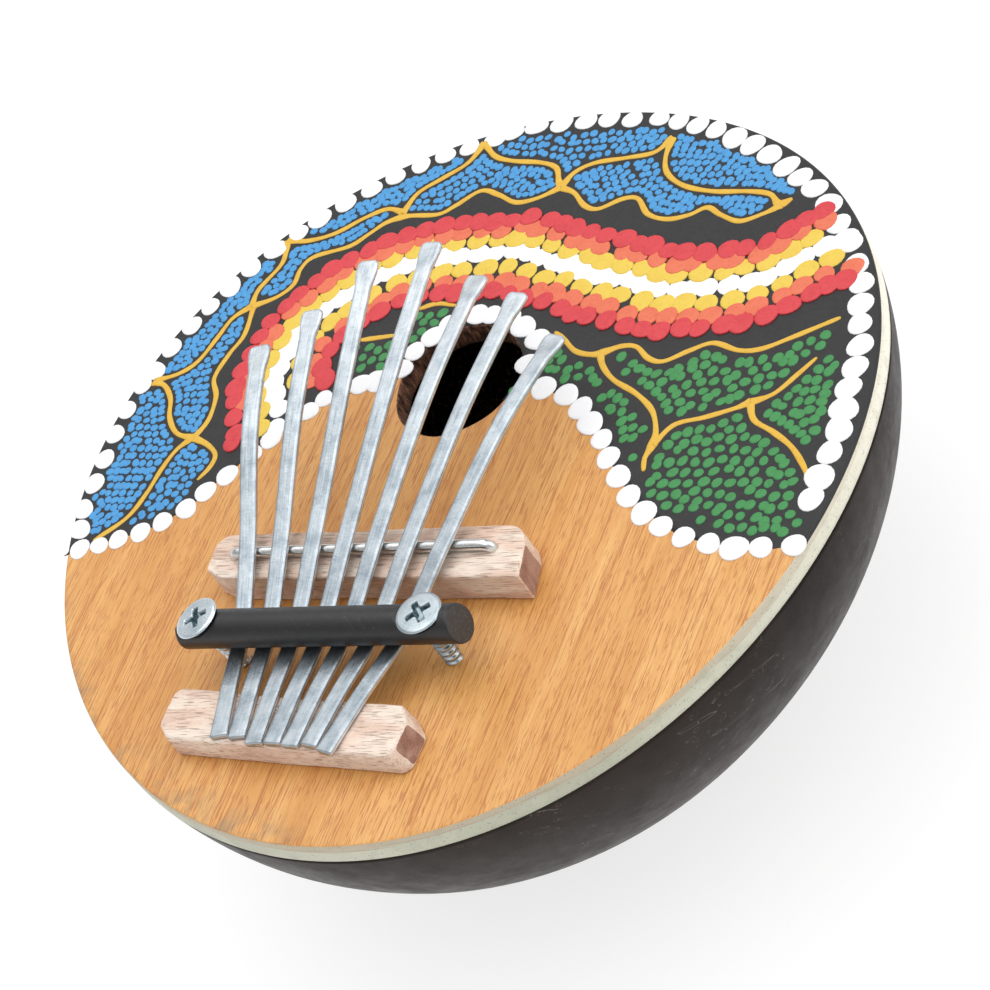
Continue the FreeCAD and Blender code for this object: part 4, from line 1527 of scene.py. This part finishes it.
@dataclass
class ClampScrew:
    """A countersunk wood screw with a cross recess and a real helical thread.

    Attributes:
        node: the CAD node it replaces.
        x: where its axis crosses the rod's.
        lean: how far its head leans out to the left.
        turn: angle of the cross.
        head_radius, head_top: of the head, the latter above the rod's axis.
        length: of the whole screw.
        rim: height of the head's upright rim.
        outside, core, pitch: of the thread.
        recess: length, width and depth of the cross.
        crown, lip: how far the head is domed, and the radius of its edge.
        around: points round the screw.
        zinc: its plating.
    """

    node: str
    x: float
    lean: float
    turn: float
    head_radius: float = 3.85
    head_top: float = 3.3
    length: float = 20.0
    rim: float = 0.45
    outside: float = 1.5
    core: float = 1.08
    pitch: float = 1.2
    recess: tuple[float, float, float] = (4.4, 1.15, 1.9)
    crown: float = 0.16
    lip: float = 0.3
    around: int = 96
    zinc: Finish = ZINC

    def leaned(self, points: Array) -> Array:
        """Places of points given from where the two axes cross, with +Z along the screw."""
        x, z = turned(points[..., 0], points[..., 2], self.lean)
        return np.stack([self.x + x, ROD_Y + points[..., 1], ROD_Z + z], axis=-1)

    def upright(self, points: Array) -> Array:
        """The opposite of leaned: places as the screw sees them."""
        x, y, z = np.moveaxis(points - (self.x, ROD_Y, ROD_Z), -1, 0)
        x, z = turned(x, z, -self.lean)
        return np.stack([x, y, z], axis=-1)

    def cross(self, x: Array, y: Array) -> Array:
        """Depth of the recess: two slots with a diamond at their middle, its walls 0.25 mm wide."""
        length, width, deep = self.recess
        u, v = turned(x, y, -self.turn)
        arms = [np.maximum(np.abs(p) - length / 2, np.abs(q) - width / 2)
                for p, q in ((u, v), (v, u))]
        diamond = (np.abs(u) + np.abs(v) - 1.25 * width) / math.sqrt(2)
        inner = np.clip(-np.minimum(np.minimum(*arms), diamond) / 0.25, 0, 1)
        reach = np.hypot(x, y) / (length / 2)
        return deep * inner * inner * (3 - 2 * inner) * (1 - 0.55 * np.clip(reach, 0, 1)**2)

    def build(self) -> None:
        """A profile carried round the axis; the thread is a ridge that climbs one pitch a turn."""
        top, tip = self.head_top, self.head_top - self.length
        angle = round_about(self.around)[None, :]
        edge = self.head_radius - self.lip
        reach = np.concatenate([np.linspace(0.06, 2.6, 36), np.linspace(2.7, edge - 0.05, 5)])
        head = np.stack([reach, top - self.crown * (reach / self.head_radius)**2], axis=1)
        turn = np.linspace(0, np.pi / 2, 5)
        lip = np.stack([edge + self.lip * np.sin(turn),
                        top - self.crown - self.lip * (1 - np.cos(turn))], axis=1)
        under = top - self.rim - (self.head_radius - self.core)
        cone = np.stack([np.linspace(self.head_radius, self.core, 9),
                         np.linspace(top - self.rim, under, 9)], axis=1)
        shank_z = np.linspace(under, tip + 0.35, 220)[1:]
        taper = np.clip((shank_z - tip) / 4.0, 0.08, 1)**0.8
        profile = np.vstack([head, lip, cone, np.stack([self.core * taper, shank_z], axis=1)])
        radius = np.broadcast_to(profile[:, :1], (len(profile), self.around)).copy()
        z = np.broadcast_to(profile[:, 1:], radius.shape).copy()
        climb = np.abs((shank_z[:, None] / self.pitch + angle / (2 * np.pi)) % 1 - 0.5) * 2
        ridge = np.clip(1 - climb / 0.5, 0, 1)**0.8
        fade = np.clip((under - shank_z) / 1.2, 0, 1) * taper
        radius[-len(shank_z):] += (self.outside - self.core) * ridge * fade[:, None]
        x, y = radius * np.cos(angle), radius * np.sin(angle)
        sunk = self.cross(x[:len(head)], y[:len(head)])
        z[:len(head)] -= sunk
        slots = np.zeros((len(profile) + 1, self.around), int)
        # faces sunk in the cross recess take the darker zinc, painted shade
        slots[1:len(head)] = sunk[1:] + sunk[:-1] > 0.5
        slots[0] = 1
        uv = np.stack(np.broadcast_arrays(angle * 2.0, run_along(profile)[:, None]), axis=-1)
        piece = tube_object(self.node.replace("clamp_", "wood_"),
                            self.leaned(np.stack([x, y, z], axis=-1)), slots, uv)
        fix_piece(piece, "screw", self.zinc, RECESS_SHADE, node=self.node)


SCREWS = (ClampScrew("clamp_screw_left", -26.6, math.radians(10), math.radians(24)),
          ClampScrew("clamp_screw_right", 14.3, 0.0, math.radians(38), zinc=DULL_ZINC))


@dataclass
class ClampRod:
    """The black round bar that the two screws pull down on the tongues.

    Attributes:
        end_round: edge radius of its left end.
        slope: how far its right end is askew.
        seat: gap between a screw's head and the hollow it is sunk in.
        around: points round the rod.
    """

    end_round: float = 0.7
    slope: float = math.radians(13)
    seat: float = 0.2
    around: int = 72

    def build(self) -> None:
        """Circles along X, sawn square at the left and askew at the right, sunk under each head."""
        left = low("clamp_rod")[0]
        axis_end = high("clamp_rod")[0] - ROD_RADIUS * math.tan(self.slope)
        x = crowded(left, axis_end, 200, self.end_round)
        ends = np.minimum(x - left, axis_end - x)
        reach = ROD_RADIUS - np.where(x < 0, end_ease(ends, self.end_round),
                                      0.4 * end_ease(ends, 0.4))
        ring = round_about(self.around)
        grid = np.stack([np.broadcast_to(x[:, None], (len(x), self.around)),
                         ROD_Y + reach[:, None] * np.cos(ring),
                         ROD_Z + reach[:, None] * np.sin(ring)], axis=-1)
        for screw in SCREWS:
            seen = screw.upright(grid)
            out = np.hypot(seen[..., 0], seen[..., 1])
            hollow = screw.head_radius + self.seat
            floor = screw.head_top - screw.rim - np.clip(hollow - out, 0, None)
            sunk = (out < hollow) & (seen[..., 2] > floor)
            seen[..., 2] = np.where(sunk, floor, seen[..., 2])
            grid = np.where(sunk[..., None], screw.leaned(seen), grid)
        grid = sheared(grid, axis_end, 5.0, (ROD_Z - grid[..., 2]) * math.tan(self.slope))
        caps = []
        for ring_end, bulge in ((grid[0], -0.12), (grid[-1], 0.15)):
            centre = ring_end.mean(axis=0)
            caps.append(np.array([centre + (ring_end - centre) * share + (bulge * (1 - share), 0, 0)
                                  for share in (0.9, 0.6, 0.3)]))
        grid = np.concatenate([caps[0][::-1], grid, caps[1]])
        slots = np.zeros(len(grid) + 1, int)
        slots[:4] = slots[-4:] = 1
        fix_piece(tube_object("rod_enamelled", grid, slots), "rod", ROD_BLACK, ROD_CUT,
                  node="clamp_rod")


# ---------------------------------------------------------------- the steel tongues


@dataclass
class Tongue:
    """One flat spring-steel tongue, clamped at the rear and flared at its playing end.

    Attributes:
        number: 1 to 7 from the left, as its CAD node is named.
        saddle_x: where it crosses the saddle wire.
        free: its free length beyond the wire.
        mid_height, tip_height: of its upper face above the board, part-way and at the tip.
        overhang: how far its tail passes the rear block's edge.
        width, thickness: of the strip.
        tip_width, tip_thickness, tip_length, flare, corner: of the hammered playing end; the
            strip widens over the flare, and corner is its corners' radius.
        clearance: gap to the block, the wire and the rod.
        tail_pitch, tail_middle: spacing of the seven tails, and x of the middle one.
        mid_share: where along the free length mid_height is given.
        tail_ease: corner radius of the tail.
        edge: radius of the strip's long edges.
        dent, dent_size, sway: depth and length of the hammer's dents, and how far the strip
            wanders to the side.
        across, corner_points: points that divide a flat and a corner of the section.
    """

    number: int
    saddle_x: float
    free: float
    mid_height: float
    tip_height: float
    overhang: float
    width: float = 3.0
    thickness: float = 0.95
    tip_width: float = 4.0
    tip_thickness: float = 0.75
    tip_length: float = 2.2
    flare: float = 2.8
    corner: float = 1.1
    clearance: float = 0.12
    tail_pitch: float = 3.45
    tail_middle: float = -8.7
    mid_share: float = 0.6
    tail_ease: float = 0.35
    edge: float = 0.33
    dent: float = 0.05
    dent_size: float = 3.4
    sway: float = 0.05
    across: int = 7
    corner_points: int = 5

    def rear_edge(self, x: float, side: int) -> float:
        """y of the rear block's near (-1) or far (+1) edge at x."""
        middle_x, middle_y = Blocks.rear_centre
        return (middle_y + side * Blocks.rear_depth / 2 / math.cos(Blocks.rear_turn)
                + math.tan(Blocks.rear_turn) * (x - middle_x))

    def line(self) -> tuple[float, float, float, float]:
        """Lean from +Y, y of the saddle, and distances from saddle to tail and to the block."""
        wire_y = float(middle("saddle_wire")[1])
        tail_x = self.tail_middle + self.tail_pitch * (self.number - 4)
        tail_y = self.rear_edge(tail_x, -1)
        lean = math.atan2(self.saddle_x - tail_x, wire_y - tail_y)
        tail = math.hypot(self.saddle_x - tail_x, wire_y - tail_y)
        slope = math.tan(Blocks.rear_turn)
        on_block = (self.rear_edge(tail_x, 1) - tail_y) / (math.cos(lean) - slope * math.sin(lean))
        return lean, wire_y, tail + self.overhang, tail - on_block

    def underside(self, s: Array) -> tuple[Array, Array]:
        """Height and slope of the lower face at distances s from the saddle.

        Cubic spans join the heights at tail, block, rod, wire, middle and tip. Each is crossed
        at a mean of the slopes to its two neighbours, in which the nearer one counts for more.
        """
        lean, wire_y, tail, leaves = self.line()
        lying = high("rear_block")[2] + self.clearance
        over_wire = high("saddle_wire")[2] + self.clearance
        wire_radius = (high("saddle_wire")[1] - low("saddle_wire")[1]) / 2
        drop, rest = ROD_RADIUS + self.clearance + self.thickness, wire_radius + self.clearance
        held = np.array([
            (-leaves, lying), ((ROD_Y - wire_y) / math.cos(lean), ROD_Z - drop), (0, over_wire),
            (self.mid_share * self.free, BOARD_TOP + self.mid_height - self.thickness),
            (self.free, BOARD_TOP + self.tip_height - self.tip_thickness)])
        run, rise = np.diff(held, axis=0).T
        steep = rise / run
        mean = (steep[:-1] * run[1:] + steep[1:] * run[:-1]) / (run[:-1] + run[1:])
        rod_angle, wire_angle = np.arctan(mean[:2])
        at = np.concatenate([[-tail], held[:, 0]])
        z = np.concatenate([[lying], held[:, 1]])
        slope = np.concatenate([[0, 0], mean, [steep[-1]]])
        at[2] += drop * math.sin(rod_angle)
        z[2] += drop * (1 - math.cos(rod_angle))
        at[3] -= rest * math.sin(wire_angle)
        z[3] -= rest * (1 - math.cos(wire_angle))
        k = np.clip(np.searchsorted(at, s, side="right") - 1, 0, len(at) - 2)
        span = at[k + 1] - at[k]
        t = (s - at[k]) / span
        height = ((2 * t**3 - 3 * t**2 + 1) * z[k] + (t**3 - 2 * t**2 + t) * span * slope[k]
                  + (3 * t**2 - 2 * t**3) * z[k + 1] + (t**3 - t**2) * span * slope[k + 1])
        return height, np.gradient(height, s)

    def build(self) -> None:
        """Rounded flat sections along the curve, dented where they were hammered."""
        lean, wire_y, tail, _ = self.line()
        s = crowded(-tail, self.free, 150, self.corner, 9)
        bottom, slope = self.underside(s)
        angle = np.arctan(slope)
        flat = self.free - self.tip_length
        half = np.interp(s, (flat - self.flare, flat), (self.width / 2, self.tip_width / 2))
        half = half - end_ease(self.free - s, self.corner)
        tail_gap = s - s[0]
        half = half - end_ease(tail_gap, self.tail_ease) + 0.12 * np.exp(-tail_gap / 2.5)
        thick = np.interp(s, (flat - self.flare, self.free),
                          (self.thickness, self.tip_thickness)) / 2
        thick = thick - 0.6 * end_ease(np.minimum(self.free - s, tail_gap), 0.3)
        section = rounded_section(half, thick, np.minimum(self.edge, thick * 0.9),
                                  self.across, self.corner_points)
        across, rise = section[..., 0], section[..., 1] + thick[:, None]
        along = np.broadcast_to(s[:, None], across.shape)
        local = np.stack([along, across, rise], axis=-1)
        hammered = np.clip((s - flat + self.flare) / self.flare, 0, 1) + np.exp(-tail_gap / 4)
        dents = waves(local, self.dent_size, 200 + self.number, 2) * self.dent * hammered[:, None]
        sway = waves(local * (1, 0, 0), 26, 300 + self.number, 1) * self.sway
        shift = rise + dents * np.sign(section[..., 1])
        along = along - shift * np.sin(angle)[:, None]
        z = bottom[:, None] + shift * np.cos(angle)[:, None]
        across = across + sway * np.clip(np.abs(s) / 8, 0, 1)[:, None] + dents
        grid = np.stack([self.saddle_x + along * math.sin(lean) + across * math.cos(lean),
                         wire_y + along * math.cos(lean) - across * math.sin(lean), z], axis=-1)
        uv = np.stack([np.broadcast_to(s[:, None], across.shape), section.sum(axis=-1)], axis=-1)
        # the two upright faces of the strip, where it was cut from the sheet, are brighter: bare
        # cut steel, and a painted highlight for their glint
        side = self.across + self.corner_points
        around = np.arange(4 * side)
        cut = (around // side % 2 == 1) & (around % side >= self.corner_points - 1)
        slots = np.broadcast_to(cut.astype(int), (len(s) + 1, len(around)))
        piece, node = tube_object(f"tongue_{self.number}", grid, slots, uv), f"tine_{self.number}"
        dress_piece(piece, "tine", STRIP_STEEL, STRIP_EDGE_HIGHLIGHT, node=node)
        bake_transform(piece)


# ---------------------------------------------------------------- studio


@dataclass
class Studio:
    """Pale floor, soft light and the camera.

    Attributes:
        camera_place: where the camera stands, from the middle of the board's face.
        right, up, back: the camera's own axes.
        lens: focal length for a 36 mm sensor.
        sky: height in the sky, from the horizon (0) to overhead (1), and its brightness there.
        sky_strength: strength of its light.
        window: direction of a bright window in it.
        key_place, key_size, key_power: the softbox, in metres and watts.
        floor_reach: half the floor's side.
    """

    camera_place: Direction = (357.41, -343.15, 428.20)
    right: Direction = (0.8423, 0.2982, -0.4491)
    up: Direction = (0.0352, 0.8010, 0.5978)
    back: Direction = (0.5379, -0.5193, 0.6641)
    lens: float = 150.36
    sky: tuple = ((0.0, 0.50), (0.25, 0.40), (0.5, 0.22), (0.66, 0.22), (0.78, 0.33), (0.9, 0.8),
                  (1.0, 1.0))
    sky_strength: float = 2.0
    window: Direction = (0.72, 0.34, 0.60)
    key_place: Direction = (-0.35, 0.45, 1.0)
    key_size: float = 0.9
    key_power: float = 2.8
    floor_reach: float = 3000

    @staticmethod
    def stand(name: str, data: bpy.types.ID) -> bpy.types.Object:
        """An object for a lamp or camera, linked into the scene."""
        made = bpy.data.objects.new(name, data)
        bpy.context.scene.collection.objects.link(made)
        return made

    def camera(self) -> None:
        """A long lens, tipped sideways, aimed across the board."""
        data = bpy.data.cameras.new("camera")
        data.lens, data.sensor_width = self.lens, 36.0
        data.clip_start, data.clip_end = 0.02, 20.0
        camera = self.stand("camera", data)
        axes = Matrix([self.right, self.up, self.back]).transposed().to_4x4()
        x, y, z = self.camera_place
        camera.matrix_world = Matrix.Translation(Vector((x, y, z + BOARD_TOP)) * MM) @ axes
        bpy.context.scene.camera = camera

    def softbox(self) -> None:
        """A square area light aimed at the board."""
        data = bpy.data.lights.new("key", "AREA")
        data.shape, data.size, data.energy = "SQUARE", self.key_size, self.key_power
        light = self.stand("key", data)
        light.location = self.key_place
        aim = Vector((0, 0, 0.05)) - Vector(self.key_place)
        light.rotation_euler = aim.to_track_quat("-Z", "Y").to_euler()

    def floor(self) -> None:
        """A level sheet of paper, with its edges far outside any view."""
        step = np.linspace(-self.floor_reach, self.floor_reach, 13)
        x, y = np.meshgrid(step, step, indexing="ij")
        grid = np.stack([x, y, np.zeros_like(x)], axis=-1).reshape(-1, 3)
        sheet = mesh_object("studio_floor", grid, quads(13, 13, False, False).tolist())
        sheet.data.materials.append(PAPER.material())

    def sky_light(self) -> None:
        """A sky bright overhead and at the horizon and dimmer between, with a window in it.

        Level steel looks grey under it and upright faces look lighter; the window picks out
        right-hand edges.
        """
        world = bpy.data.worlds.new("studio")
        bpy.context.scene.world = world
        world.use_nodes = True
        nodes = Nodes(world.node_tree)
        direction = nodes.add("TexCoord").outputs["Generated"]
        rise = nodes.add("SeparateXYZ", {0: direction}).outputs["Z"]
        towards = nodes.vector("DOT_PRODUCT", direction, self.window)["Value"]
        sky = nodes.layers(nodes.ramp(rise, *((at, (light,) * 3) for at, light in self.sky)),
                           (nodes.fit(towards, (0.83, 0.92)), (1.0, 1.0, 1.0)))
        nodes.feed(nodes.tree.nodes["Background"], {"Color": sky, "Strength": self.sky_strength})

    def build(self) -> None:
        """Sky, softbox, floor and camera."""
        self.sky_light()
        self.softbox()
        self.floor()
        self.camera()
        bpy.context.scene.view_settings.view_transform = "Standard"


TONGUES = (
    Tongue(1, -25.7, 35.2, 15.4, 17.0, -0.5),
    Tongue(2, -19.4, 40.8, 15.7, 17.9, -0.6),
    Tongue(3, -13.2, 48.4, 16.2, 20.0, 0.3),
    Tongue(4, -7.2, 52.9, 15.6, 18.2, 0.0),
    Tongue(5, -1.5, 48.3, 14.1, 14.8, 0.2),
    Tongue(6, 4.8, 44.3, 13.9, 15.0, -0.2),
    Tongue(7, 11.4, 37.6, 12.8, 12.7, 0.7),
)


def main() -> None:
    """Builds every piece round the frame, in the order in which the real one goes together."""
    logging.basicConfig(level=logging.INFO, format="%(name)s: %(message)s")
    Studio().build()
    CoconutShell().build()
    Soundboard().build()
    Painting().build()
    blocks = Blocks()
    blocks.bridge()
    blocks.rear()
    SaddleWire().build()
    for screw in SCREWS:
        screw.build()
    ClampRod().build()
    for tongue in TONGUES:
        tongue.build()


if __name__ == "__main__":
    main()
